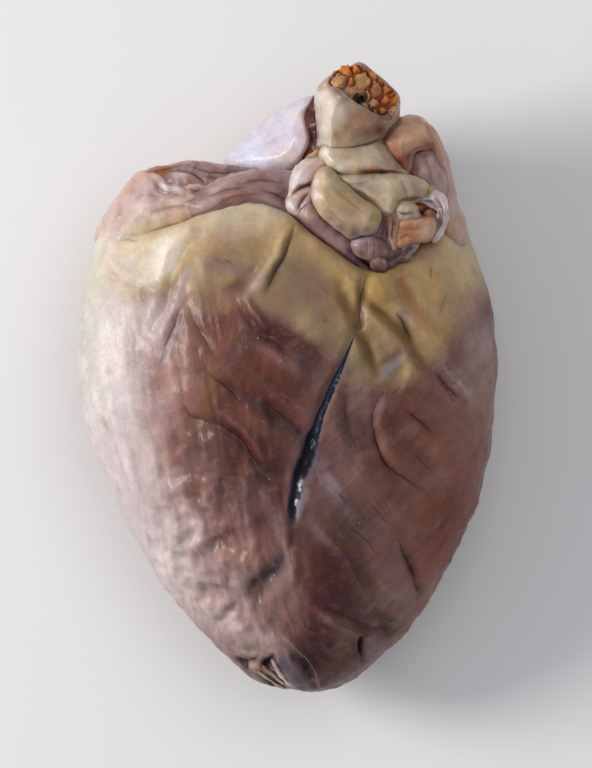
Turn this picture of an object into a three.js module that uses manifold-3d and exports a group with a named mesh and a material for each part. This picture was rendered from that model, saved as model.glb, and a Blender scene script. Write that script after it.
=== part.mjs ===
// A preserved pig heart, lying on its back as one closed piece of tissue.
// Millimetres. +Y runs from the apex to the cut vessels, +X to the right of the shown face, and +Z up
// out of that face. The origin is on the table, under the middle of the ventricles.
import * as THREE from "three";
import { mergeVertices } from "three/addons/utils/BufferGeometryUtils.js";
import Module from "manifold-3d";

const wasm = await Module();
wasm.setup();

// Driving dimensions
const apexY = -70; // the tip of the heart
const baseY = 42; // where the outline of the ventricles is read for the last time
const depthShare = 0.66; // half depth of the ventricles over their half width
const bellyHeight = 28.3; // height of the long axis over the table, less than the half depth: it lies flat
const apexDroop = 10; // how far the long axis sinks towards the apex
const backRimY = 39; // upper edge of the ventricles at the back
const lipRadius = 3; // rounding of that edge
const lidCentre = new THREE.Vector3(3, 41, 20); // middle of the base, under the vessels
const wallShare = 0.8; // share of the rows up to the lip
const lipShare = 0.09; // share of the rows round the lip

// Outline of the ventricles, in nine equal steps of the square root of the height over the apex
const leftEdge = [6, -4.7, -12.3, -20.8, -30.1, -38.6, -45.6, -45.8, -39];
const rightEdge = [6, 13, 19.9, 28.6, 36.2, 43.2, 46.3, 45.9, 37.1];

// Upper edge of the fat on the shown face, in equal steps across it
const rimReach = 45;
const rimHeights = [34, 32.4, 34, 37.3, 39.9, 37, 29.7, 24, 27.3, 33.5, 40];

// Folds of the shown face. A negative depth is a groove, a positive one a ridge.
const folds = [
  {
    name: "front vein",
    depth: -2.6,
    width: 3.2,
    path: [[15.4, 9.7], [9.8, -3.7], [5.6, -14.4], [1.5, -24], [1, -32]],
  },
  {
    name: "split over the vein",
    depth: -2.4,
    width: 2.6,
    path: [[18.6, 24], [17.4, 18], [15.8, 11]],
  },
  {
    name: "right fat groove",
    depth: -2.6,
    width: 2.8,
    path: [[18.5, 18.5], [23, 13.5], [26.5, 8]],
  },
  {
    name: "outer fat groove",
    depth: -2.2,
    width: 2.8,
    path: [[23.5, 22], [26.5, 17], [27, 10], [31.5, 3]],
  },
  {
    name: "dome ridge",
    depth: 2.2,
    width: 3,
    path: [[0.5, 30], [-2.5, 24], [-7, 18], [-5, 12.5]],
  },
  {
    name: "dome groove",
    depth: -1.8,
    width: 3,
    path: [[3.5, 28], [0.5, 22], [-3, 18]],
  },
  {
    name: "left ridge",
    depth: 2.2,
    width: 3.2,
    path: [[-22.5, 31], [-25.5, 25], [-28.5, 18]],
  },
  {
    name: "left groove",
    depth: -2.2,
    width: 2.6,
    path: [[-21.5, 27], [-24.5, 20], [-28.5, 12]],
  },
  {
    name: "middle fold",
    depth: -2.4,
    width: 2.6,
    path: [[-17, -8.4], [-11, -12.5], [-7.4, -17.5], [-3, -22]],
  },
  {
    name: "fold to the vein",
    depth: -1.8,
    width: 2.6,
    path: [[-5, -4], [-1, -9.5], [5, -13.5]],
  },
  {
    name: "right crease",
    depth: -1.6,
    width: 2.4,
    path: [[22, -3.7], [19.7, -10.8], [22, -18.6], [30, -25]],
  },
  {
    name: "low arch",
    depth: -1.8,
    width: 2.6,
    path: [[-19, -39], [-15, -36.6], [-11, -35.6]],
  },
  {
    name: "low dark groove",
    depth: -2.4,
    width: 3,
    path: [[-8, -47.2], [-4, -43.4], [-0.5, -40]],
  },
  {
    name: "apex ridge",
    depth: 2,
    width: 2.8,
    path: [[4, -49], [9, -53], [18, -57.2], [26, -57.5]],
  },
  {
    name: "apex fold",
    depth: -2,
    width: 2.6,
    path: [[-1, -55.5], [3.5, -61.5], [8, -67.5]],
  },
];

// Sub-forms at the base: an oval section carried along a path, with its half width and half
// thickness at each point. All are fused with the ventricles.
const lobes = [
  {
    name: "root of the vessels",
    path: [[9.8, 30.5, 33], [14.7, 41, 35], [18.8, 50.1, 35]],
    wide: [14.7, 15.2, 10.7],
    thick: [14, 13, 12],
  },
  {
    name: "back atrium",
    path: [[-36.2, 32.3, 21], [-20.1, 35.8, 19], [2.2, 42.1, 19], [24.6, 42.1, 20], [33.5, 34.1, 22]],
    wide: [6.7, 9.4, 11.2, 10.3, 7.6],
    thick: [13, 16, 17, 16, 14],
  },
  {
    name: "right auricle",
    path: [[-37.1, 34.1, 30], [-30.4, 39, 35], [-20.1, 40.3, 38], [-10.3, 40.8, 39], [3.1, 40.8, 36]],
    wide: [4, 6, 6.7, 6.3, 5.4],
    thick: [8, 9, 10, 10, 8],
  },
  {
    name: "auricle back layer",
    path: [[-28.6, 43.9, 37], [-20.1, 44.8, 39.5], [-11.2, 44.8, 39], [-4, 43.9, 36]],
    wide: [1.8, 2.2, 2, 1.8],
    thick: [6, 6, 6, 6],
  },
  {
    name: "auricle band",
    path: [[-23.2, 38.1, 41], [-16.5, 40.8, 44], [-8, 42.1, 46], [1.3, 42.1, 45]],
    wide: [2, 2.9, 3.8, 3.6],
    thick: [4, 5, 6, 5],
  },
  {
    name: "auricle tip",
    path: [[-36.6, 33.6, 36], [-34.4, 38.5, 39.5], [-29, 40.8, 42], [-21.4, 39.9, 42]],
    wide: [3.1, 4.5, 3.6, 2.7],
    thick: [6, 6, 6, 5],
  },
  {
    name: "auricle edge",
    path: [[-34.8, 42.1, 36], [-30.8, 45.2, 38], [-24.6, 46.6, 38]],
    wide: [1.1, 1.3, 0.9],
    thick: [5, 5, 5],
  },
  {
    name: "pale flap",
    path: [[-13.4, 45.7, 24], [-5.4, 50.1, 27], [1.8, 54.8, 29], [6.3, 58.6, 31]],
    wide: [2.7, 5.6, 6.3, 4.5],
    thick: [8, 12, 12, 8],
  },
  {
    name: "flap behind the stump",
    path: [[6.7, 49.2, 38], [6.7, 54.2, 42], [7.4, 58.2, 42]],
    wide: [1.6, 1.8, 1.3],
    thick: [6, 6, 6],
  },
  {
    name: "brown fold",
    path: [[21.9, 54.6, 40], [25.7, 54.2, 45], [29, 53.7, 45], [32.2, 51.7, 40]],
    wide: [3.1, 3.8, 3.8, 2.7],
    thick: [8, 9, 9, 8],
  },
  {
    name: "brown leg",
    path: [[23.7, 51.9, 40], [25.5, 49.2, 43], [26.8, 45.4, 42]],
    wide: [2.9, 2.5, 1.1],
    thick: [6, 6, 5],
  },
  {
    name: "right rim",
    path: [[30.8, 54.6, 33], [33.9, 50.6, 35], [34.8, 46.1, 37], [34.6, 41.6, 40], [35.7, 36.5, 40]],
    wide: [2.2, 2, 1.8, 2, 1.8],
    thick: [8, 8, 8, 8, 7],
  },
  {
    name: "lilac panel",
    path: [[30.8, 49.7, 37], [31.3, 46.1, 40], [31.3, 42.1, 42]],
    wide: [2.9, 3.3, 2.9],
    thick: [6, 6, 6],
  },
  {
    name: "connecting band",
    path: [[20.5, 52.8, 42], [13.2, 51.9, 44], [5.8, 49.2, 42]],
    wide: [1.3, 1.6, 1.3],
    thick: [6, 6, 6],
  },
  {
    name: "upper cream fold",
    path: [[10.5, 48.8, 44], [15.2, 49.2, 48], [20.1, 48.3, 48.5], [25.5, 45.2, 45]],
    wide: [3.6, 4.5, 3.8, 2],
    thick: [7, 8, 8, 6],
  },
  {
    name: "lower cream fold",
    path: [[14.3, 43, 46], [18.8, 42.1, 49], [24.1, 41.9, 50.5], [30.4, 41.6, 48]],
    wide: [2.5, 3.6, 3.8, 2.9],
    thick: [6, 7, 7, 6],
  },
  {
    name: "cream branch",
    path: [[22.1, 39.9, 48], [22.8, 35.4, 51], [23.4, 29.6, 50]],
    wide: [3.1, 2.2, 0.9],
    thick: [6, 6, 4],
  },
  {
    name: "front lobe",
    path: [[7.1, 44.3, 48], [10.3, 41.4, 53], [14.1, 37.4, 55.5], [17.9, 33.2, 53]],
    wide: [2.9, 4.5, 4.7, 3.3],
    thick: [6, 7, 7.5, 6],
  },
  {
    name: "white fold",
    path: [[7.6, 47, 45], [4, 44.3, 49], [1.1, 39.9, 48]],
    wide: [1.8, 2.7, 2.2],
    thick: [5, 6, 5],
  },
  {
    name: "pink band",
    path: [[4.5, 40.8, 44], [4.2, 36.3, 48], [9.2, 31.2, 51.5], [14.7, 26.7, 52.5], [19.7, 24.9, 50]],
    wide: [3.1, 3.8, 3.3, 2.7, 1.3],
    thick: [6, 7, 7, 6, 4],
  },
  {
    name: "large nodule",
    path: [[15.2, 28.7, 51], [17.9, 28.9, 53.5], [20.8, 28.2, 51.5]],
    wide: [2, 2.7, 2],
    thick: [4, 4.5, 4],
  },
  {
    name: "small nodule",
    path: [[19.2, 25.8, 52.5], [21.4, 25.8, 52.5]],
    wide: [1.8, 1.8],
    thick: [3.4, 3.4],
  },
  {
    name: "torn tissue",
    path: [[21.4, 27.4, 49], [25, 27.8, 51], [28.6, 29.8, 50]],
    wide: [1.6, 1.8, 1.6],
    thick: [4, 4, 4],
  },
  {
    name: "orange piece",
    path: [[23.7, 30.5, 48], [27.2, 32.7, 52], [31.7, 33.2, 49]],
    wide: [2, 2.7, 2],
    thick: [4.5, 5.5, 4.5],
  },
  {
    name: "cream knob",
    path: [[24.3, 36.7, 49], [26.8, 37, 52], [29.3, 36.7, 50]],
    wide: [1.6, 2, 1.6],
    thick: [4.5, 5, 4.5],
  },
  {
    name: "lilac strip",
    path: [[29.9, 40.3, 48], [33.5, 39.2, 49.5], [34.6, 35.4, 50], [32.8, 30.9, 49]],
    wide: [1.1, 1.3, 1.5, 0.9],
    thick: [4.5, 4.5, 4.5, 4],
  },
  {
    name: "left auricle",
    path: [[31.3, 48.8, 30], [33, 42.1, 33], [34.6, 34.3, 36], [37.1, 26, 36]],
    wide: [3.1, 4, 4.5, 4],
    thick: [10, 12, 12, 9],
  },
];

// The cut great vessel, a thick-walled stump, and the crumbs of fat in its mouth
const stump = {
  foot: new THREE.Vector3(13.2, 50.5, 39),
  mouth: new THREE.Vector3(17.4, 63.6, 49.5),
  radius: 9.3,
  wall: 2,
  boreDepth: 7,
  squareness: 0.08,
  slant: 0.12, // the cut is oblique: the left side of the stump stands higher
};
const crumbs = { count: 17, size: 2.4, spread: 0.74, seed: 7 };

const bodySides = 60;
const bodyRows = 40;
const fewestLobeSides = 8;
const lobeSidesPerWidth = 0.6; // more sides for each millimetre of half width
const mostLobeSides = 16;
const fewestLobeRows = 4; // and one more for each point of the path
const endBluntness = 0.5; // below 1 the ends of a lobe are blunter than an ellipsoid's
const sectionBluntness = 0.86; // below 1 its section is squarer than an oval

const { clamp, lerp, smoothstep } = THREE.MathUtils;

// Value at t, from 0 to 1, of a smooth curve through evenly spaced values
function along(values, t) {
  const last = values.length - 1;
  const place = clamp(t, 0, 1) * last;
  const i = Math.min(Math.floor(place), last - 1);
  const f = place - i;
  const before = i > 0 ? values[i - 1] : 2 * values[0] - values[1];
  const after = i + 2 > last ? 2 * values[last] - values[last - 1] : values[i + 2];
  const [a, b, c, d] = [before, values[i], values[i + 1], after];
  return b + 0.5 * f * (c - a + f * (2 * a - 5 * b + 4 * c - d + f * (3 * (b - c) + d - a)));
}

// Distance from (x, y) to a path, and how far along the path the nearest point is, from 0 to 1
function nearestOnPath(path, x, y) {
  let best = { distance: Infinity, share: 0 };
  for (let i = 0; i + 1 < path.length; i++) {
    const [ax, ay] = path[i];
    const [dx, dy] = [path[i + 1][0] - ax, path[i + 1][1] - ay];
    const t = clamp(((x - ax) * dx + (y - ay) * dy) / (dx * dx + dy * dy), 0, 1);
    const distance = Math.hypot(x - ax - t * dx, y - ay - t * dy);
    if (distance < best.distance) best = { distance, share: (i + t) / (path.length - 1) };
  }
  return best;
}

// How far the folds lift or sink the shown face at (x, y). Each fades towards its two ends.
function foldRelief(x, y) {
  return folds.reduce((sum, { path, width, depth }) => {
    const { distance, share } = nearestOnPath(path, x, y);
    const fade = Math.sqrt(Math.sin(Math.PI * clamp(share, 0.12, 0.88)));
    return sum + depth * fade * Math.exp(-((distance / width) ** 2));
  }, 0);
}

// Middle, half width, half depth and axis height of the ventricles at the height y over the apex
function sectionAt(y) {
  const s = Math.sqrt(clamp((y - apexY) / (baseY - apexY), 0, 1));
  const [left, right] = [along(leftEdge, s), along(rightEdge, s)];
  const halfWidth = (right - left) / 2;
  return {
    x: (left + right) / 2,
    z: bellyHeight - apexDroop * (1 - s) ** 2,
    halfWidth,
    halfDepth: depthShare * halfWidth,
  };
}

// Point of the ventricles' surface: angle round the long axis, 0 at +X, and share v of the way from
// the apex over the wall and the rounded lip to the middle of the base.
function ventriclePoint(angle, v) {
  const [c, s] = [Math.cos(angle), Math.sin(angle)];
  const front = smoothstep(s, -0.2, 0.3);
  const edge = sectionAt(32);
  const rimX = edge.x + edge.halfWidth * c;
  const rimY = lerp(backRimY, along(rimHeights, (rimX + rimReach) / (2 * rimReach)), front);
  const wall = clamp(v / wallShare, 0, 1);
  const turn = clamp((v - wallShare) / lipShare, 0, 1) * (Math.PI / 2);
  const y = apexY + (rimY - lipRadius - apexY) * wall ** 1.4 + lipRadius * Math.sin(turn);
  const section = sectionAt(y);
  const inward = lipRadius * (1 - Math.cos(turn));
  const point = new THREE.Vector3(
    section.x + (section.halfWidth - inward) * c,
    y,
    section.z + (section.halfDepth - inward) * s,
  );
  const relief = foldRelief(point.x, point.y) * front * smoothstep(s, 0.1, 0.5) * Math.cos(turn);
  const outward = Math.hypot(depthShare * c, s);
  point.x += (relief * depthShare * c) / outward;
  point.z += (relief * s) / outward;
  const lid = clamp((v - wallShare - lipShare) / (1 - wallShare - lipShare), 0, 1);
  point.lerp(lidCentre, lid);
  point.z = Math.max(point.z, 0);
  return point;
}

// A closed sphere whose every vertex is moved by place(angle round Y, share of the way from -Y to +Y)
function shapedSphere(sides, rows, place) {
  const sphere = new THREE.SphereGeometry(1, sides, rows);
  sphere.deleteAttribute("normal");
  sphere.deleteAttribute("uv");
  const geometry = mergeVertices(sphere, 1e-4);
  const position = geometry.getAttribute("position");
  const unit = new THREE.Vector3();
  for (let i = 0; i < position.count; i++) {
    unit.fromBufferAttribute(position, i);
    const share = 1 - Math.acos(clamp(unit.y, -1, 1)) / Math.PI;
    const point = place(Math.atan2(unit.z, unit.x), share);
    position.setXYZ(i, point.x, point.y, point.z);
  }
  return geometry;
}

const blunted = (value) => Math.sign(value) * Math.abs(value) ** sectionBluntness;

// A lobe: an oval section carried along a smooth path, rounded off at both ends
function lobeGeometry({ path, wide, thick }) {
  const spine = new THREE.CatmullRomCurve3(path.map((p) => new THREE.Vector3(...p)), false, "catmullrom");
  const outward = new THREE.Vector3(0, 0, 1);
  const sides = Math.min(fewestLobeSides + Math.round(lobeSidesPerWidth * Math.max(...wide)), mostLobeSides);
  return shapedSphere(sides, fewestLobeRows + path.length, (angle, share) => {
    const t = (1 - Math.cos(Math.PI * share)) / 2;
    const fullness = Math.max(Math.sin(Math.PI * share), 0) ** endBluntness;
    const tangent = spine.getTangent(t);
    const across = new THREE.Vector3().crossVectors(tangent, outward).normalize();
    const up = new THREE.Vector3().crossVectors(across, tangent);
    return spine
      .getPoint(t)
      .addScaledVector(across, along(wide, t) * fullness * blunted(Math.cos(angle)))
      .addScaledVector(up, along(thick, t) * fullness * blunted(Math.sin(angle)));
  });
}

// The stump of the great vessel: a lathed wall with a blind bore in its mouth, pressed slightly square
function stumpGeometry() {
  const { foot, mouth, radius, wall, boreDepth, squareness, slant } = stump;
  const length = foot.distanceTo(mouth);
  const bore = radius - wall;
  const profile = [
    [0, -4], [radius * 0.8, -3], [radius, 0], [radius * 1.04, length * 0.5], [radius, length - 1.2],
    [radius - wall * 0.5, length], [bore, length - 0.8], [bore * 0.8, length - boreDepth * 0.6],
    [bore * 0.4, length - boreDepth], [0, length - boreDepth - 0.5],
  ].map(([r, h]) => new THREE.Vector2(r, h));
  const geometry = new THREE.LatheGeometry(profile, 24);
  const position = geometry.getAttribute("position");
  for (let i = 0; i < position.count; i++) {
    const [x, y, z] = [position.getX(i), position.getY(i), position.getZ(i)];
    const press = 1 + squareness * Math.cos(4 * Math.atan2(z, x));
    position.setXYZ(i, x * press, y - slant * x * clamp(y / length, 0, 1), z * press);
  }
  const direction = new THREE.Vector3().subVectors(mouth, foot).normalize();
  const turn = new THREE.Quaternion().setFromUnitVectors(new THREE.Vector3(0, 1, 0), direction);
  return geometry.applyQuaternion(turn).translate(foot.x, foot.y, foot.z);
}

// Evenly mixed numbers from 0 to 1, the same in every run
function randomFrom(seed) {
  let state = seed;
  return () => {
    state = (state * 1664525 + 1013904223) % 4294967296;
    return state / 4294967296;
  };
}

// Crumbs of fat packed round the bore, each a squashed ball with few sides
function crumbGeometries() {
  const random = randomFrom(crumbs.seed);
  const direction = new THREE.Vector3().subVectors(stump.mouth, stump.foot).normalize();
  const side = new THREE.Vector3().crossVectors(direction, new THREE.Vector3(0, 0, 1)).normalize();
  const up = new THREE.Vector3().crossVectors(side, direction);
  return Array.from({ length: crumbs.count }, (_, i) => {
    const angle = (i / crumbs.count) * 4 * Math.PI + random() * 0.4;
    const reach = stump.radius * crumbs.spread * (i % 2 ? 1 : 0.68);
    const size = crumbs.size * (0.7 + 0.5 * random());
    return new THREE.IcosahedronGeometry(1, 0)
      .rotateX(random() * Math.PI)
      .rotateY(random() * Math.PI)
      .scale(size, size * 0.85, size * (0.7 + 0.4 * random()))
      .translate(
        ...stump.mouth
          .clone()
          .addScaledVector(side, reach * Math.cos(angle))
          .addScaledVector(up, reach * Math.sin(angle))
          .addScaledVector(direction, -1.2 + random() * 1.4 - stump.slant * reach * Math.cos(angle))
          .toArray(),
      );
  });
}

// A geometry as a solid: shared corners are merged, and triangles without an area are dropped
function solidOf(geometry) {
  const bare = geometry.clone();
  bare.deleteAttribute("normal");
  bare.deleteAttribute("uv");
  const merged = mergeVertices(bare, 1e-4);
  const corners = merged.index.array;
  const kept = [];
  for (let i = 0; i < corners.length; i += 3) {
    const [a, b, c] = corners.slice(i, i + 3);
    if (a !== b && b !== c && c !== a) kept.push(a, b, c);
  }
  return new wasm.Manifold(
    new wasm.Mesh({
      numProp: 3,
      vertProperties: new Float32Array(merged.getAttribute("position").array),
      triVerts: new Uint32Array(kept),
    }),
  );
}

// All pieces fused. Where fusing seals a hollow, it is filled: only the outer surface is kept.
function fused(geometries) {
  const whole = geometries.map(solidOf).reduce((sum, solid) => sum.add(solid));
  return whole.decompose().reduce((largest, body) => (body.volume() > largest.volume() ? body : largest));
}

function geometryOf(solid) {
  const { numProp, vertProperties, triVerts } = solid.getMesh();
  const count = vertProperties.length / numProp;
  const positions = new Float32Array(count * 3);
  for (let i = 0; i < count; i++) positions.set(vertProperties.subarray(i * numProp, i * numProp + 3), i * 3);
  const geometry = new THREE.BufferGeometry();
  geometry.setAttribute("position", new THREE.BufferAttribute(positions, 3));
  geometry.setIndex(new THREE.BufferAttribute(new Uint32Array(triVerts), 1));
  geometry.computeVertexNormals();
  return geometry;
}

const ventricles = shapedSphere(bodySides, bodyRows, ventriclePoint);
const tissue = new THREE.MeshStandardMaterial({ color: 0xa98a7c, roughness: 0.5, metalness: 0 });
const heart = new THREE.Mesh(
  geometryOf(fused([ventricles, ...lobes.map(lobeGeometry), stumpGeometry(), ...crumbGeometries()])),
  tissue,
);
heart.name = "heart";

const group = new THREE.Group();
group.add(heart);

export default group;
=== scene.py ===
import bpy
import numpy as np
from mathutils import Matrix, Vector


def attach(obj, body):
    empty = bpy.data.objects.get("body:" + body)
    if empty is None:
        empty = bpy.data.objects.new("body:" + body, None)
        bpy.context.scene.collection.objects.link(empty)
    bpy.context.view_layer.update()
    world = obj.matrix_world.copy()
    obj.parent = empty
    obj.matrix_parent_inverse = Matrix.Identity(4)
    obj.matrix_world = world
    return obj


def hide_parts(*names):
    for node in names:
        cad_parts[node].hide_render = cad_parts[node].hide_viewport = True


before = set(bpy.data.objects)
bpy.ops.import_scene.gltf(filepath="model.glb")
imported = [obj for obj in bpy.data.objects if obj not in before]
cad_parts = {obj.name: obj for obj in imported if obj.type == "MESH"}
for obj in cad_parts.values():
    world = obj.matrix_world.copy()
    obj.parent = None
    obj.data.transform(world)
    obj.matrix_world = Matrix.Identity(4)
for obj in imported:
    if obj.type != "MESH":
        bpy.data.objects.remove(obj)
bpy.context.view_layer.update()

# A preserved pig heart on its back, apex towards -Y. Shapes are worked out in millimetres, with +X to
# the right of the shown face and +Z out of it, and go into the meshes in metres.
metresPerMm = 0.001


# The shades that the heart is painted with, as screen colours
paintBox = {
    "ink": (24, 17, 17), "clot": (48, 30, 31), "wine": (67, 37, 39), "plum": (82, 52, 58),
    "maroon": (90, 56, 51), "russet": (116, 74, 62), "mauveBrown": (112, 82, 80), "brick": (150, 102, 88),
    "greyMauve": (132, 103, 105), "rosewood": (138, 98, 88), "dustyRose": (168, 134, 128),
    "rose": (190, 160, 154), "shell": (206, 172, 162), "palePink": (206, 188, 184),
    "porcelain": (228, 216, 212), "pearl": (212, 206, 220), "lilac": (186, 168, 182), "slate": (68, 60, 70),
    "blueGrey": (130, 122, 134), "umber": (98, 74, 60), "bark": (134, 106, 82), "olive": (150, 122, 88),
    "sand": (174, 144, 106), "clay": (168, 118, 92), "honey": (196, 162, 112), "gold": (182, 150, 84),
    "darkGold": (138, 102, 54), "butter": (206, 178, 128), "cream": (208, 190, 162),
    "ivory": (216, 206, 190), "white": (244, 232, 216), "rust": (180, 114, 66), "amber": (198, 142, 90),
    "liver": (138, 60, 44), "chestnut": (128, 74, 58), "mahogany": (98, 52, 42), "cocoa": (80, 50, 44),
    "fawn": (188, 144, 116), "tan": (174, 126, 98), "apricot": (216, 168, 132), "beige": (184, 162, 134),
    "ecru": (200, 188, 162), "taupe": (154, 128, 126), "heather": (172, 144, 150), "straw": (198, 174, 118),
    "garnet": (72, 18, 20), "sienna": (120, 48, 32), "ginger": (214, 128, 58), "chalk": (202, 202, 193),
    "oyster": (190, 192, 172), "ice": (214, 220, 236), "peach": (232, 162, 122),
    "muscleGround": (124, 86, 78), "backFibre": (186, 156, 148), "fatGround": (176, 148, 104),
    # the bed, crevice and joint colours below are painted shade in folds and where parts meet
    "backFat": (206, 188, 150), "muscleBedShadow": (150, 92, 80), "fatBedShadow": (172, 128, 84),
    "fatCreviceShadow": (66, 34, 26), "foldBedShadow": (150, 90, 78), "jointShadowHalo": (200, 140, 120),
    "jointShadowLine": (62, 27, 20),
}


def linearTone(shade):
    # a shade of the paint box, or a screen colour 0..255, to linear light: ((c + 0.055) / 1.055) ** 2.4
    c = np.asarray(paintBox[shade] if isinstance(shade, str) else shade, float) / 255
    return np.where(c <= 0.04045, c / 12.92, ((c + 0.055) / 1.055) ** 2.4)


def smoothStep(low, high, values):
    # 3 t^2 - 2 t^3 with t going 0..1 between low and high
    t = np.clip((values - low) / (high - low), 0, 1)
    return t * t * (3 - 2 * t)


def mix(a, b, share):
    # a + share * (b - a)
    return a + (b - a) * share


def along(values, t):
    # uniform Catmull-Rom through evenly spaced values, with mirrored ghosts past both ends
    values = np.asarray(values, float)
    ghosts = np.concatenate([[2 * values[0] - values[1]], values, [2 * values[-1] - values[-2]]])
    place = np.clip(t, 0, 1) * (len(values) - 1)
    i = np.minimum(place.astype(int), len(values) - 2)
    f = place - i
    if values.ndim > 1:
        f = f[..., None]
    a, b, c, d = ghosts[i], ghosts[i + 1], ghosts[i + 2], ghosts[i + 3]
    return b + 0.5 * f * (c - a + f * (2 * a - 5 * b + 4 * c - d + f * (3 * (b - c) + d - a)))


def latticeValue(ix, iy, iz, seed):
    # whole numbers mixed to an even value 0..1, the same in every run
    h = (ix * 374761393 + iy * 668265263 + iz * 1440662683 + seed * 1274126177) & 0xFFFFFFFF
    h = ((h ^ (h >> 13)) * 1274126177) & 0xFFFFFFFF
    h = h ^ (h >> 16)
    return (h & 0xFFFF) / 65535.0


def softNoise(points, seed):
    # value noise -1..1: lattice values blended with 6 t^5 - 15 t^4 + 10 t^3 along each axis
    cell = np.floor(points).astype(np.int64)
    f = points - cell
    f = f * f * f * (f * (f * 6 - 15) + 10)
    total = np.zeros(points.shape[:-1])
    for corner in range(8):
        dx, dy, dz = corner & 1, corner >> 1 & 1, corner >> 2
        share = (
            np.where(dx, f[..., 0], 1 - f[..., 0])
            * np.where(dy, f[..., 1], 1 - f[..., 1])
            * np.where(dz, f[..., 2], 1 - f[..., 2])
        )
        total += share * latticeValue(cell[..., 0] + dx, cell[..., 1] + dy, cell[..., 2] + dz, seed)
    return total * 2 - 1


def layeredNoise(points, size, seed, layers=3):
    # octaves of soft noise, each half as large and half as strong; size is in mm, one or per axis
    total, strength = 0, 1.0
    scaled = points / np.asarray(size, float)
    for layer in range(layers):
        total = total + strength * softNoise(scaled * 2**layer + 17.3 * layer, seed + layer)
        strength *= 0.5
    return total / (2 - 0.5 ** (layers - 1))


def smoothPath(path, steps=6):
    # Catmull-Rom places, steps of them for each stretch of the path
    path = np.asarray(path, float)
    return along(path, np.linspace(0, 1, (len(path) - 1) * steps + 1))


def nearestOnPath(path, x, y):
    # distance to a path of straight stretches, share 0..1 along it, and +1 on the left of its own
    # direction or -1 on the right
    best = np.full(x.shape, 1e9)
    share = np.zeros(x.shape)
    side = np.ones(x.shape)
    starts, steps = path[:-1], np.diff(path, axis=0)
    for i, ((ax, ay), (dx, dy)) in enumerate(zip(starts, steps)):
        t = np.clip(((x - ax) * dx + (y - ay) * dy) / (dx * dx + dy * dy), 0, 1)
        distance = np.hypot(x - ax - t * dx, y - ay - t * dy)
        nearer = distance < best
        best = np.where(nearer, distance, best)
        share = np.where(nearer, (i + t) / len(steps), share)
        side = np.where(nearer, np.sign(dx * (y - ay) - dy * (x - ax)), side)
    return best, share, side


def gridNormals(points):
    # cross product of the differences along and round a grid that closes round its columns
    around = np.roll(points, -1, axis=1) - np.roll(points, 1, axis=1)
    lengthwise = np.gradient(points, axis=0)
    normal = np.cross(lengthwise, around)
    size = np.linalg.norm(normal, axis=2, keepdims=True)
    normal = np.where(size > 1e-9, normal / np.maximum(size, 1e-9), 0)
    normal[0] = normal[1].mean(axis=0)
    normal[-1] = normal[-2].mean(axis=0)
    length = np.linalg.norm(normal, axis=2, keepdims=True)
    return normal / np.maximum(length, 1e-9)


def gridFaces(rows, columns, firstVertex=0):
    # quads between rows, wrapped round the columns, and triangles to one vertex at each pole
    k = np.arange(columns)
    after = (k + 1) % columns
    row = firstVertex + 1 + np.arange(rows - 3)[:, None] * columns
    quads = np.stack([row + k, row + after, row + columns + after, row + columns + k], axis=2)
    first = np.full(columns, firstVertex)
    last = np.full(columns, firstVertex + 1 + (rows - 2) * columns)
    lowRing, highRing = firstVertex + 1, firstVertex + 1 + (rows - 3) * columns
    caps = np.concatenate([
        np.stack([first, lowRing + k, lowRing + after], axis=1),
        np.stack([last, highRing + after, highRing + k], axis=1),
    ])
    return quads.reshape(-1, 4)[:, ::-1], caps


def flattenGrid(values):
    # first and last row shrink to their single pole vertex
    return np.concatenate([values[:1, 0], values[1:-1].reshape(-1, *values.shape[2:]), values[-1:, 0]])


def makePiece(name, vertices, quads, triangles, layers, material):
    # one mesh from whole arrays; layers holds its point attributes by name
    mesh = bpy.data.meshes.new(name)
    mesh.vertices.add(len(vertices))
    mesh.vertices.foreach_set("co", (vertices * metresPerMm).astype(np.float32).ravel())
    mesh.loops.add(quads.size + triangles.size)
    corners = np.concatenate([quads.ravel(), triangles.ravel()])
    mesh.loops.foreach_set("vertex_index", corners.astype(np.int32))
    mesh.polygons.add(len(quads) + len(triangles))
    starts = np.concatenate([np.arange(len(quads)) * 4, quads.size + np.arange(len(triangles)) * 3])
    mesh.polygons.foreach_set("loop_start", starts.astype(np.int32))
    mesh.polygons.foreach_set("use_smooth", np.ones(len(starts), bool))
    for layerName, values in layers.items():
        if values.ndim == 2:
            layer = mesh.attributes.new(layerName, "FLOAT_COLOR", "POINT")
            colours = np.concatenate([values, np.ones((len(values), 1))], axis=1)
            layer.data.foreach_set("color", colours.astype(np.float32).ravel())
        else:
            layer = mesh.attributes.new(layerName, "FLOAT", "POINT")
            layer.data.foreach_set("value", values.astype(np.float32))
    mesh.update(calc_edges=True)
    mesh.validate()
    mesh.materials.append(material)
    piece = bpy.data.objects.new(name, mesh)
    bpy.context.collection.objects.link(piece)
    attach(piece, "root")
    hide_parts("heart")
    return piece


def makeGridPiece(name, points, layers, material):
    # first and last row of the grid are its poles, and its columns close round it
    rows, columns = points.shape[:2]
    quads, triangles = gridFaces(rows, columns)
    flatLayers = {key: flattenGrid(values) for key, values in layers.items()}
    piece = makePiece(name, flattenGrid(points), quads, triangles, flatLayers, material)
    print(f"{name}: {len(quads) * 2 + len(triangles)} triangles")
    return piece


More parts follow.
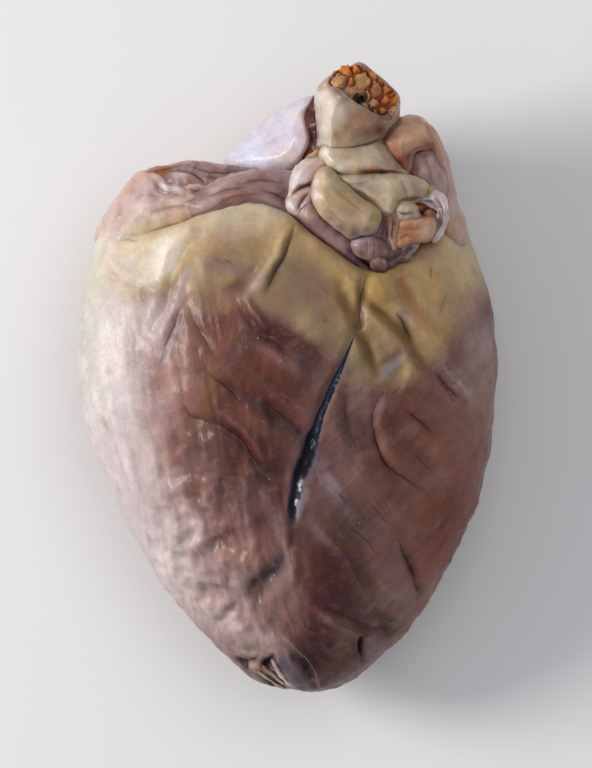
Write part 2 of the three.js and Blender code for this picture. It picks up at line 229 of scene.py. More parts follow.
# Ventricles: outline of the shown face at nine even places of the square root of the height over the
# apex, and its upper rim at even places across it
ventricles = {
    "apexY": -70,
    "baseY": 42,
    "depthShare": 0.66,
    "bellyHeight": 28.3,
    "apexDroop": 10,
    "backRimY": 39,
    "lipRadius": 3,
    "lidCentre": (3, 41, 20),
    "leftEdge": [6, -4.7, -12.3, -20.8, -30.1, -38.6, -45.6, -45.8, -39],
    "rightEdge": [6, 13, 19.9, 28.6, 36.2, 43.2, 46.3, 45.9, 37.1],
    "rimReach": 45,
    "rimHeights": [34, 32.4, 34, 37.3, 39.9, 37, 29.7, 24, 27.3, 33.5, 40],
    "columns": 400,
    "wallRows": 226,
    "lipRows": 12,
    "lidRows": 8,
    "frontCrowding": 0.5,  # closer columns on the shown face
    "apexCrowding": 0.15,  # closer rows near the apex
    "wrinkleHeight": 0.2,
    "bundleHeight": 0.6,
    "knobbleHeight": 1.6,
    "wander": 0.5,  # how far the folds stray from their paths
    "swellHeight": 0.6,
    "foldVariety": 0.35,  # how far a fold's height comes and goes
    "wrinklesOnFat": 0.35,  # share of them that the fat shows
    "bundlesOnFat": 0.5,
    "patchWander": 1.4,  # how far the colours stray from their patches
    # the bed, bank and height strengths paint shade in fold beds, highlights on banks and light with relief
    "bedTint": 1.15,
    "bankLight": 0.5,
    "heightLight": 0.06,  # lighter for each mm of relief
    "fineLight": 0.05,
    "streakShare": 0.35,  # pale fibres on the back
    "streakSwing": 0.5,
    "tipDarkness": 0.7,
    "backFatShare": 0.8,
    "backFilm": 0.35,
    "filmUnderFat": 0.7,  # share of the film that the fat hides
    # the crevice strengths paint shade where the forms meet the ventricles
    "creviceShare": 0.85,
    "creviceWidth": 0.35,
    "creviceGain": 1.4,  # times the crease of the form that stands there
}

# Folds of the shown face: depth, width, shade, line and path. A negative depth is a groove, shade
# is painted shade that darkens its bed, or a painted highlight on its banks where it is negative, and
# line is a fine line along it, a dark painted crease shade where it is positive and a pale thread, a
# painted highlight, where it is negative
mainFolds = {
    "front vein": [-1, 1.1, 0.15, 0, [[15.2, 9.5], [13.2, 4.8], [10.5, -0.3], [7.8, -7], [5.8, -13.1],
        [3.6, -18.6], [2.2, -23.1], [1.3, -27.8], [1.6, -32]]],
    "left bright ridge": [1.5, 1.3, 0, 0, [[-21, 32.3], [-23.7, 30.3], [-25.7, 28], [-26.8, 25.6],
        [-27.5, 22.9]]],
    "left groove": [-0.8, 1.1, 0.12, 0, [[-21.9, 30], [-23.4, 27.1], [-24.8, 24.2], [-25.7, 20.4],
        [-26.8, 16.6], [-28.1, 13.5], [-29.5, 10.8]]],
    "second ridge": [0.8, 0.9, 0, 0.8, [[-21.7, 26.9], [-22.8, 24.2], [-23.7, 21.1], [-24.6, 18]]],
    "rim of the left fat": [0.9, 1.2, 0, 0, [[-40.2, 26.9], [-38, 24.9], [-35.3, 22.7], [-32.2, 20.4],
        [-28.8, 19.3]]],
    "fold at the left edge": [-0.6, 1.1, 0.1, 0, [[-40, 29.6], [-41.1, 26.9], [-42, 23.8]]],
    "left dip": [-0.7, 1, 0.2, 0, [[-38.4, 24.2], [-38, 21.1]]],
    "right dip": [-0.7, 1, 0.2, 0, [[-31.9, 20.2], [-31.7, 16.6]]],
    "edge of the dome": [1.1, 1.4, 0, 0, [[0, 34.1], [-1.8, 29.6], [-3.6, 25.6], [-5.8, 22], [-8.9, 18]]],
    "groove past the dome": [-0.7, 0.6, 0.05, 0.7, [[2, 34.5], [0.7, 30.5], [-0.9, 26.5], [-2.5, 22.7],
        [-4.2, 19.3]]],
    "valley in the dome": [-1.1, 2.2, 0.15, 0, [[-14.7, 18.2], [-10.7, 19.8], [-8, 22.4], [-6.5, 25.3]]],
    "forked ridge": [1.3, 0.9, -0.3, -0.2, [[-8.9, 17.8], [-7.6, 16], [-6.3, 13.7], [-4.7, 11.3]]],
    "under the fork": [-0.9, 1, 0.2, 0, [[-10.5, 16.9], [-8.7, 14.4], [-6.7, 11.7], [-4.2, 9.3]]],
    "beyond the fork": [-0.6, 1.4, 0.15, 0, [[-8.9, 9], [-5.4, 9.3], [-1.8, 7.7], [1.3, 5.7]]],
    "pale band beyond it": [0.8, 1.6, -0.06, 0, [[-7.1, 7.3], [-3.8, 5.9], [-0.4, 3.2], [2.5, 0.3]]],
    "left slanting groove": [-0.35, 0.9, 0.06, 0.5, [[-22.8, 16.6], [-24.6, 12.2], [-26.3, 7.7],
        [-28.1, 2.3]]],
    "right slanting groove": [-0.5, 1, 0.08, 0.4, [[-21.9, 16.2], [-19.7, 11.7], [-17.4, 7.7],
        [-15.2, 3.7]]],
    "short dark band": [-0.7, 1.3, 0.2, 0.6, [[-17.4, 1.7], [-14.5, -0.8], [-12.1, -3.2], [-9.6, -5.5]]],
    "upper band to the vein": [-1, 1.6, 0.2, 0, [[-5.4, 1], [-2.2, -1.5], [0.9, -3.9], [4, -5.5]]],
    "lower band to the vein": [-1, 1.7, 0.25, 0.5, [[-6.7, -3.5], [-3.6, -6.1], [-0.4, -9], [2.7, -11.5],
        [4.9, -13.1]]],
    "middle fold": [-1.3, 1.2, 0.3, 0.9, [[-16.1, -9.9], [-12.3, -11.5], [-9.6, -13.7], [-7.8, -16.2],
        [-6.3, -18.6], [-3.8, -21.1]]],
    "bank of the middle fold": [1, 1.2, -0.15, -0.12, [[-13.4, -8.2], [-10, -10.4], [-7.4, -13.3],
        [-5.1, -17.1]]],
    "left of the middle fold": [-0.8, 1.1, 0.15, 0.5, [[-22.8, -5.9], [-21, -8.6], [-17.9, -9.5]]],
    "below the vein": [-0.7, 1, 0.3, 0.2, [[1.9, -32.8], [0.9, -37], [1.6, -41], [2.6, -45]]],
    "low arch": [-1.1, 1.3, 0.25, 0.25, [[-19, -39.2], [-16.7, -37.6], [-14.5, -36.3], [-11.8, -35.2]]],
    "dome under the arch": [1.1, 3.3, 0, 0, [[-14.3, -40.5], [-10.3, -39.6], [-6.7, -41]]],
    "low dark groove": [-1.4, 2.2, 0.1, 0.1, [[-9.2, -47.5], [-6.7, -45.9], [-4.2, -43.9], [-2, -41.4],
        [-0.2, -38.1]]],
    "ridge right of it": [1.3, 1.2, -0.08, 0, [[-1.1, -34.7], [0.7, -38.1], [1.6, -41.9], [1.3, -46.3]]],
    "drop under the groove": [-0.6, 1.1, 0.15, 0.2, [[-6.3, -48.1], [-6.7, -52.6]]],
    "first low bump": [0.9, 2.2, 0, 0, [[-15.9, -50.6], [-13.5, -52.5]]],
    "second low bump": [0.8, 1.8, 0, 0, [[-11.4, -53.5], [-9.6, -56.8]]],
    "dip between the bumps": [-0.8, 1.2, 0.15, 0, [[-14.8, -54.6], [-11.2, -51.2], [-8.9, -51.9]]],
    "third low bump": [0.8, 2, 0, 0, [[-16.6, -55.6], [-13, -58.4]]],
    "fourth low bump": [0.8, 1.8, 0, 0, [[-7, -52.1], [-5.2, -55]]],
    "dip over them": [-0.7, 1.3, 0.15, 0, [[-20, -44.5], [-16.5, -46.8], [-13, -46.4]]],
    "pale ridge to the apex": [0.9, 1.1, -0.12, -0.1, [[5.6, -31.6], [8.9, -34.9], [12.1, -38.3],
        [14.3, -41.9], [16.5, -46.3], [18.8, -50.4]]],
    "dark dip": [-1, 1.6, 0.4, 0.4, [[19.9, -51.7], [21.9, -54.2], [22.8, -57.1]]],
    "right curved fold": [-1, 0.9, 0.25, 0.8, [[24.8, -35.6], [26.3, -39.6], [27.9, -42.8], [29, -46.3],
        [29.7, -50.8]]],
    "swelling beside it": [1.1, 3.8, 0, 0, [[22.3, -39.6], [23.9, -44.5], [24.3, -49.5]]],
    "apex ridge": [1.4, 1, -0.2, -0.15, [[6.9, -51.7], [10.7, -53.7], [13.8, -55.3], [17.4, -57.1]]],
    "above the apex ridge": [-0.9, 1, 0.3, 0.5, [[9.4, -51.2], [14.3, -53.7], [18.3, -55.9], [21.9, -56.6],
        [25.2, -56.6]]],
    "pit": [-1.5, 0.5, 0.5, 1, [[16.7, -57.3], [16.5, -60], [17, -62.9]]],
    "apex fold": [1.4, 0.8, -0.25, -0.3, [[-0.9, -56.2], [1.8, -59.1], [4.2, -62], [6, -64.9], [7.6, -68]]],
    "groove of the apex fold": [-1.6, 1.4, 0.6, 0.3, [[2.9, -61.3], [4.2, -63.3], [5.4, -65.3],
        [6.5, -67.3]]],
    "torn crevice": [-1.3, 0.6, 0.7, 0.9, [[-10.7, -62.3], [-9.6, -63.1], [-8.5, -63.4], [-7.4, -63.1],
        [-6.3, -62.4]]],
    "branch of the crevice": [-0.8, 0.5, 0.5, 0.7, [[-8.9, -63.3], [-9, -64.4], [-8.7, -65.3]]],
    "torn hole": [-1.7, 0.8, 0.9, 0, [[-2.9, -62.4], [-4, -63.5], [-5.1, -64.6]]],
    "gap under the strands": [-1.1, 0.5, 0.9, 1, [[-5.6, -66.2], [-4, -67.5], [-2.2, -68.7],
        [-0.4, -69.3]]],
    "gap between the strands": [-0.9, 0.4, 0.8, 1, [[-4.5, -64.9], [-3.1, -66.3], [-1.8, -67.5],
        [-0.7, -68.2]]],
    "grey swelling": [0.7, 1.8, 0, 0, [[-1.1, -63.8], [0.4, -65.5], [2.2, -67.8]]],
    "right crease": [-0.7, 0.8, 0.2, 0.9, [[20.8, -4.1], [19.4, -7.5], [19.4, -11.1], [20.5, -15.5],
        [21.9, -18.6], [24.6, -21.1], [27.7, -23.3], [30.1, -25.1]]],
    "bank of the right crease": [0.7, 1.3, 0, 0, [[22.3, -4.8], [21.4, -8.2], [21.4, -11.5], [22.6, -15.5],
        [24.6, -18.6]]],
    "first short crease": [-0.5, 0.7, 0.15, 0.9, [[27, -7.3], [29.7, -9.7], [32.6, -12.6]]],
    "second short crease": [-0.5, 0.7, 0.15, 0.9, [[33.7, 1.2], [36, -1.5], [38.4, -4.4]]],
    "third short crease": [-0.5, 0.7, 0.12, 0.8, [[35.1, 3.5], [38, 0.6], [40.6, -2.1], [43.1, -4.4]]],
    "right of the vein": [-1.2, 1.8, 0.15, 0.5, [[13.6, -2.6], [13.2, -7.5], [14.3, -11.5], [15.9, -15.5]]],
    "left of the lobe": [-1.2, 1.1, 0.18, 0.6, [[18.3, 22.9], [17.2, 19.3], [16.7, 15.3], [16.5, 11.9]]],
    "fat over the vein": [-1.2, 1.6, 0.2, 0, [[12.5, 20.2], [14.3, 16.6], [16.1, 13.1], [15.9, 9.9]]],
    "left fat groove": [-1.5, 1.3, 0.2, 0, [[16.5, 11.7], [17.6, 8.2], [19, 4.6], [20.3, 1.5]]],
    "yellow lobe": [1.2, 2.9, 0, 0, [[20.8, 22.2], [22.1, 19.5], [23.4, 16.9]]],
    "under the lobe": [-1.4, 1.2, 0.2, 0, [[18.1, 18.4], [20.5, 15.1], [23.4, 12.4], [25.9, 9.5],
        [27.7, 6.4], [29.5, 3.2], [31.5, 0.8]]],
    "middle fat ridge": [0.9, 1.6, 0, 0, [[18.3, 14.8], [21, 11.7], [23.7, 8.6], [25.5, 5.9]]],
    "right of the lobe": [-1.5, 1.6, 0.2, 0, [[24.6, 22.9], [26.3, 19.3], [28.4, 16]]],
    "right fat ridge": [1.1, 1.6, 0, 0, [[25.7, 15.3], [28.1, 12.8], [30.8, 9.9], [33, 6.8], [34.6, 3.5]]],
    "lower fat ridge": [0.9, 1.3, 0, 0, [[25.9, 6.4], [27.7, 2.8], [26.3, -1.2], [24.6, -4.6]]],
    "bluish furrow": [-0.8, 1.1, 0.05, -0.5, [[20.3, 1], [22.8, 3.5], [25.5, 5.5], [26.3, 7.7]]],
}

# Fine lines without a fold: darkness and path. Dark lines are painted shade in fine creases, and a
# negative darkness gives a pale line, a painted highlight
fineCreases = [
    [0.5, [[-21.9, 26.2], [-23, 23.8], [-23.7, 20.9]]], [0.5, [[28.1, -16.4], [30, -18.2], [31.7, -20.1]]],
    [0.35, [[29.9, -23.3], [31.9, -26.5]]], [0.4, [[18.3, -27.3], [20.5, -29.5], [23, -32.6]]],
    [0.2, [[22.3, -23.8], [24.1, -26.3], [26.4, -28.6]]],
    [0.25, [[20.3, -25.2], [22.3, -27.9], [24, -31.2]]], [0.5, [[33.7, 0], [35.9, -3.2], [37.4, -5.4]]],
    [0.5, [[12.7, -32.9], [14.7, -33.4], [16.5, -34.7], [18.5, -36.7], [20.8, -39]]],
    [0.6, [[9.4, -51.5], [13.4, -53.3], [16.5, -55.3], [18.8, -56.6]]],
    [-0.5, [[36.8, 1.7], [39.5, -1], [42.4, -3.7]]], [-0.2, [[6.9, -21.1], [9.2, -23.6], [11.4, -26]]],
    [0.9, [[24.3, 14.6], [25.7, 12.8], [26.6, 10.6], [27.5, 8.6]]], [0.5, [[32.2, 24.9], [32.4, 21.8]]],
    [0.45, [[35.7, 18.9], [34.6, 16.2], [33.7, 13.7]]], [0.5, [[-36.6, 30.9], [-34.8, 31.4], [-33, 30.5]]],
    [0.6, [[6.5, -20.4], [7.4, -22.9]]], [0.6, [[11.4, -24.9], [13.2, -27.4]]],
    [0.5, [[-13.6, 26.5], [-11.4, 25.3]]], [0.5, [[21.9, -3], [20.8, -4.6]]],
    [0.5, [[25.2, -2.1], [23.4, -4.1]]],
]

# Front vein: its path from the fat down, half widths along it and how deep it lies
frontVein = {
    "path": [[15.2, 9.4], [14.1, 6.6], [12.9, 3.6], [11.5, 0.6], [10.1, -2.6], [8.8, -5.6], [7.6, -8.6],
        [6.7, -11.4], [5.9, -13.2], [5.4, -15.2], [4.4, -18], [3.4, -20.6], [2.5, -22.9], [2.1, -25.4],
        [1.4, -28.2], [1.3, -31], [1.8, -33.4]],
    "halfWidths": [0.1, 0.2, 0.36, 0.52, 0.6, 0.7, 0.8, 0.95, 1.35, 1.7, 1.65, 1.5, 1.3, 1.1, 0.95, 0.75,
        0.4],
    "depth": 0.45,
}

# Lower edge of the fat on the shown face, in equal steps across it, the edge on the back, and the seam
# of fat down the groove of the back
fatEdge = {
    "reach": 45,
    "heights": [17.5, 19.3, 18.4, 16.5, 17.5, 13, 5, -0.6, 0, 9, 23],
    "softness": [7, 5, 4.5, 5, 4.5, 3.2, 3.5, 3.5, 4, 9, 13],
    "wobble": 2,  # mm that the edge strays
    "backHeight": 24,
    "backWobble": 3,
    "backSoftness": 5,
    "grooveShift": 4,
    "grooveSwing": 3,
    "grooveWave": 14,
    "grooveWidth": 2.2,
    "grooveWidening": 0.06,  # for each mm over the apex
    "grooveShare": 0.85,
}

# Patches of colour on the ventricles: x, y, half length, half width, turn in degrees, shade, strength.
# Besides the muscle's own colour they hold painted light: paler towards the left, the lamp's side,
# and darker towards the right; the ink and clot patches at the apex are painted shadow in its torn
# gaps and pit
musclePatches = [
    [-42, -3.7, 38, 11.6, 92, "porcelain", 0.97], [-30.4, -31.6, 25.7, 9.8, 122, "palePink", 0.9],
    [-26.8, -5.9, 19, 6.3, 88, "dustyRose", 0.8], [-23.7, 6.4, 11.2, 5.4, 80, "rosewood", 0.6],
    [-17.9, -13.7, 14.7, 5.8, 85, "mauveBrown", 0.8], [-5.4, -3.7, 20.1, 11.6, 70, "mahogany", 0.9],
    [-5.4, -22.7, 12.5, 9.8, 80, "mahogany", 0.8], [-16.1, -31.6, 9.8, 5.4, 100, "rosewood", 0.75],
    [14.3, -7, 11.2, 5.8, 85, "mauveBrown", 0.8], [10.9, -24.9, 13.4, 7.6, 75, "mauveBrown", 0.8],
    [22.1, -22.7, 15.6, 8.9, -55, "rosewood", 0.85], [40, -13.7, 22.3, 7.6, 95, "rosewood", 0.9],
    [34.4, -33.8, 15.6, 6.7, 66, "chestnut", 0.9], [15.4, -37.2, 12.5, 8, -60, "mauveBrown", 0.85],
    [9.4, -45, 11.2, 7.6, 80, "cocoa", 0.9], [21.4, -46.8, 8.9, 5.4, 70, "rosewood", 0.85],
    [7.1, -59.5, 9.8, 4.9, 85, "wine", 0.9], [13.5, -59, 4, 3, 80, "wine", 0.4],
    [14.7, -61.1, 5.8, 4, 60, "cocoa", 0.85], [0.9, -50.6, 8.9, 4.5, 80, "rosewood", 0.8],
    [-9.2, -43.9, 8.9, 6.7, 20, "dustyRose", 0.85], [-14.3, -52.1, 12.5, 4.9, 140, "rose", 0.85],
    [-27, -41.6, 13.4, 4.5, 128, "palePink", 0.8], [42.9, 4.1, 12.5, 4, 95, "dustyRose", 0.8],
    [-2.5, 8.2, 8.5, 3.1, -20, "maroon", 0.75], [-10.3, 5.9, 4.5, 3.1, 60, "maroon", 0.6],
    [-16.5, -3, 7.6, 2.2, 85, "darkGold", 0.7], [-18.1, 1.5, 7.6, 2.2, 100, "russet", 0.6],
    [-15.5, 9.5, 7, 4, 60, "chestnut", 0.9], [-13.2, -5.5, 8, 3.2, 80, "mahogany", 0.8],
    [1.5, 7, 8, 3.6, -30, "cocoa", 0.85], [-4, -14, 6, 4, 60, "cocoa", 0.6],
    [5.4, 3, 7.1, 2.2, -40, "mauveBrown", 0.75], [14.3, -3.5, 9, 3.6, 85, "bark", 0.55],
    [11.5, -14.5, 6, 2.5, 75, "rosewood", 0.6], [26.5, -9.5, 9, 5, -55, "mahogany", 0.5],
    [15.5, -47, 12, 7, -70, "wine", 0.35], [9.5, -60, 11, 8, 80, "garnet", 0.5],
    [0.9, 7.5, 8, 4.5, -30, "garnet", 0.5], [10, -44, 11, 7, 80, "garnet", 0.3],
    [0, -7, 14, 8, 75, "garnet", 0.22], [7.6, -17, 4, 2.6, 70, "garnet", 0.45],
    [4.2, -30.5, 5, 2.4, 80, "slate", 0.35], [-3.6, -46, 4.5, 2.5, 50, "slate", 0.35],
    [-44.5, 8, 19, 3.4, 90, "chalk", 0.75], [-30.4, 8.6, 6, 4, 70, "rosewood", 0.35],
    [33, -10, 9, 6, -60, "brick", 0.35], [-17, -22.7, 5, 3.5, 85, "dustyRose", 0.25],
    [-23.7, -38.3, 6, 4, 120, "palePink", 0.3], [-10.3, -40.5, 5, 4, 30, "brick", 0.25],
    [36.5, -36, 8, 6, 66, "sienna", 0.6], [26.5, -13, 13, 7, -55, "sienna", 0.35],
    [-14.7, -4.8, 5, 3, 60, "garnet", 0.2], [-17, 11, 6, 4, 60, "cocoa", 0.45],
    [2, -32.5, 4, 2.4, 80, "plum", 0.6], [-4.7, -46, 4, 1.6, 50, "cocoa", 0.7],
    [-0.7, 4.1, 5.8, 1.6, -38, "rosewood", 0.7], [3.1, -2.1, 6.7, 2.2, -35, "maroon", 0.6],
    [-0.2, -10.6, 8.9, 2, -38, "wine", 0.85], [-5.4, -6.6, 7.6, 1.8, -38, "wine", 0.7],
    [-5.4, -10.4, 4.5, 1.8, -40, "russet", 0.6], [-1.8, -16, 4, 2.7, 60, "maroon", 0.7],
    [-4, -20.4, 5.4, 2.5, 50, "wine", 0.85], [-11.2, -24.5, 6.7, 2.7, 92, "maroon", 0.7],
    [-12.5, -16.4, 5.8, 1.8, 80, "maroon", 0.7], [-19.7, -23.6, 3.1, 2, 90, "russet", 0.75],
    [-19.2, -17.1, 4.9, 1.8, 88, "rosewood", 0.5], [-23.7, -27.1, 14.3, 1.8, 106, "rose", 0.75],
    [-20.8, -33.2, 3.3, 2, 90, "palePink", 0.8], [-17.9, -29.8, 3.6, 1.1, 88, "dustyRose", 0.6],
    [-30.4, -20.4, 10.3, 2, 98, "palePink", 0.7], [-26.3, -4.8, 8.9, 1.6, 92, "dustyRose", 0.5],
    [-21.5, -6, 5, 3, 70, "brick", 0.6], [-24, -16, 5, 2.6, 80, "brick", 0.5],
    [-28, 2, 5, 2.4, 70, "brick", 0.5], [-30, -26, 6, 2, 110, "rose", 0.6],
    [-12.5, -34, 5, 3, 80, "brick", 0.5], [-33.9, -17.8, 6.3, 0.9, 108, "rose", 0.75],
    [-35.5, -19.1, 5.4, 0.8, 108, "porcelain", 0.7], [-31.5, 10.4, 6.7, 2, 76, "rose", 0.7],
    [-26.8, 5.9, 7.6, 1.1, 66, "greyMauve", 0.7], [-28.6, 11.9, 4.9, 1.1, 66, "rose", 0.6],
    [-32.6, 6.4, 4.9, 1.1, -62, "dustyRose", 0.6], [-38.2, 8.6, 7.6, 3.1, 90, "porcelain", 0.8],
    [-44.2, 6.4, 2.7, 1.3, -40, "palePink", 0.6], [-44.7, -3, 4, 1.3, -60, "palePink", 0.6],
    [-40.6, -10.2, 1.8, 0.8, -60, "dustyRose", 0.6], [-25.5, 16.2, 5.8, 1.1, 70, "palePink", 0.6],
    [-3.1, -30.3, 5.8, 2, -60, "greyMauve", 0.7], [-8, -28.2, 5.8, 1.8, 80, "mauveBrown", 0.6],
    [-12.1, -31.6, 3.1, 1.8, 90, "rosewood", 0.6], [6.7, -22.2, 5.4, 2, 70, "mauveBrown", 0.6],
    [9.8, -22.7, 7.6, 1.8, -62, "greyMauve", 0.8], [13.4, -15.1, 5.4, 2, 80, "mauveBrown", 0.7],
    [10.3, -11.9, 5.4, 1.8, 80, "rosewood", 0.7], [17, -13.7, 8.9, 1.8, -72, "maroon", 0.8],
    [14.3, -5.9, 4.5, 2, 85, "mauveBrown", 0.7], [21.9, -20, 7.6, 2, -50, "russet", 0.7],
    [25, -11.1, 5.8, 2.7, -60, "russet", 0.75], [25.5, -27.1, 8, 2, -50, "russet", 0.6],
    [30, -36, 6, 4, 60, "brick", 0.5], [32.2, -16, 8.9, 1.8, -50, "brick", 0.6],
    [38.9, -1.2, 6.7, 1.6, -48, "dustyRose", 0.75], [37.7, -5.7, 5.8, 1.6, -48, "brick", 0.6],
    [13.4, -36.1, 8.9, 1.8, -52, "umber", 0.7], [7.6, -33.8, 5.4, 1.3, -50, "greyMauve", 0.6],
    [13.8, -43.9, 5.4, 1.6, -66, "plum", 0.7], [13.2, -50.4, 6.3, 2.2, -25, "plum", 0.8],
    [19.2, -50.8, 4.5, 1.1, -60, "umber", 0.7], [22.3, -53.9, 3.1, 1.8, 90, "wine", 0.85],
    [25.5, -55.7, 3.6, 0.9, 15, "umber", 0.7], [23.7, -46.1, 5.8, 2.7, 80, "greyMauve", 0.6],
    [28.1, -43.9, 7.6, 1.1, -68, "maroon", 0.8], [32.2, -47.2, 5.4, 1.3, 62, "brick", 0.7],
    [37.1, -36.1, 3.6, 1.6, 70, "rosewood", 0.7], [16.5, -60.2, 2.9, 0.9, 90, "clot", 0.9],
    [13, -58.8, 3.6, 1.8, 70, "bark", 0.7], [19.7, -60.2, 3.1, 2, 60, "greyMauve", 0.75],
    [11.2, -53.5, 4.9, 0.9, -25, "rosewood", 0.7], [-6.3, -40.1, 5.8, 2.7, 60, "brick", 0.7],
    [-11.6, -39.6, 5.8, 2.2, -10, "dustyRose", 0.7], [-15.6, -37.4, 4, 1.1, 32, "russet", 0.85],
    [-20.3, -38.7, 3.1, 1.3, 10, "dustyRose", 0.7], [-5.4, -44.1, 5.8, 1.6, 40, "wine", 0.85],
    [-1.8, -42.1, 4.2, 1.6, 50, "slate", 0.85], [-4, -42.1, 1.6, 1.1, 40, "darkGold", 0.6],
    [-8.9, -46.8, 1.8, 1.1, 20, "russet", 0.6], [-1.8, -46.8, 4.9, 1.3, 52, "dustyRose", 0.6],
    [-10.3, -45, 3.1, 2, 70, "rose", 0.6], [-13.6, -47.2, 4.9, 1.8, 10, "dustyRose", 0.6],
    [0.9, -39.6, 7.1, 1.1, -75, "dustyRose", 0.75], [4, -40.5, 5.4, 1.3, -80, "russet", 0.6],
    [-8, -52.1, 5.8, 2, 5, "dustyRose", 0.6], [-10.3, -40.5, 6, 4, 30, "rosewood", 0.7],
    [-12.5, -54.4, 5.4, 1.6, 140, "palePink", 0.6], [-5.4, -58.4, 4.9, 2.2, -25, "rose", 0.8],
    [-2.7, -61.1, 3.6, 1.3, -40, "dustyRose", 0.7], [-7.1, -61.7, 3.1, 0.9, -15, "cream", 0.8],
    [-0.2, -64.6, 3.3, 2, -30, "blueGrey", 0.8], [3.8, -64.6, 4, 1.3, -58, "clot", 0.9],
    [-3.6, -63.8, 2.7, 0.9, -40, "clot", 0.85], [-1.8, -66.4, 4, 0.9, -36, "rose", 0.75],
    [-4, -67.1, 3.6, 0.7, -30, "ink", 0.9], [2.2, -69.1, 5.8, 0.7, -8, "clot", 0.9],
    [-8.5, -63.3, 2.2, 0.7, -25, "wine", 0.8], [-30.4, 13, 7, 4, 80, "palePink", 0.5],
    [-8.5, -63.1, 3.1, 0.7, -8, "clot", 0.85], [-9.4, -64.4, 1.1, 0.7, -60, "wine", 0.8],
    [-6.7, -64.4, 1.8, 0.9, -40, "palePink", 0.8], [-4, -63.5, 1.6, 0.8, 46, "ink", 0.95],
    [-5.4, -65.3, 1.8, 0.7, -45, "rust", 0.6], [-0.7, -64.2, 2, 1.3, -50, "slate", 0.7],
    [-1.8, -65.8, 2.2, 0.5, -50, "greyMauve", 0.7], [0.4, -68, 1.8, 0.8, -38, "ivory", 0.7],
    [2.2, -64.6, 2, 1.6, -55, "greyMauve", 0.6], [2.7, -67.5, 1.8, 1.1, -20, "slate", 0.6],
    [4.9, -64.4, 2.9, 1, -58, "clot", 0.85], [-3.1, -68, 3.1, 0.6, -35, "ink", 0.95],
    [1.3, -69.3, 2.7, 0.4, -6, "ink", 0.9], [8.5, -69.8, 2.2, 0.4, 2, "ink", 0.8],
    [1.1, -62.2, 1.1, 1.1, 80, "wine", 0.7], [8, -65.5, 2, 1.1, -60, "maroon", 0.6],
    [36.5, -36, 11, 6, 62, "sienna", 0.5], [6, -60, 6, 4, 80, "garnet", 0.4],
    [14.5, -58, 6, 4, 60, "garnet", 0.25], [40, -20, 12, 5, 80, "sienna", 0.2],
    [10, -45, 12, 8, 80, "garnet", 0.25],
]
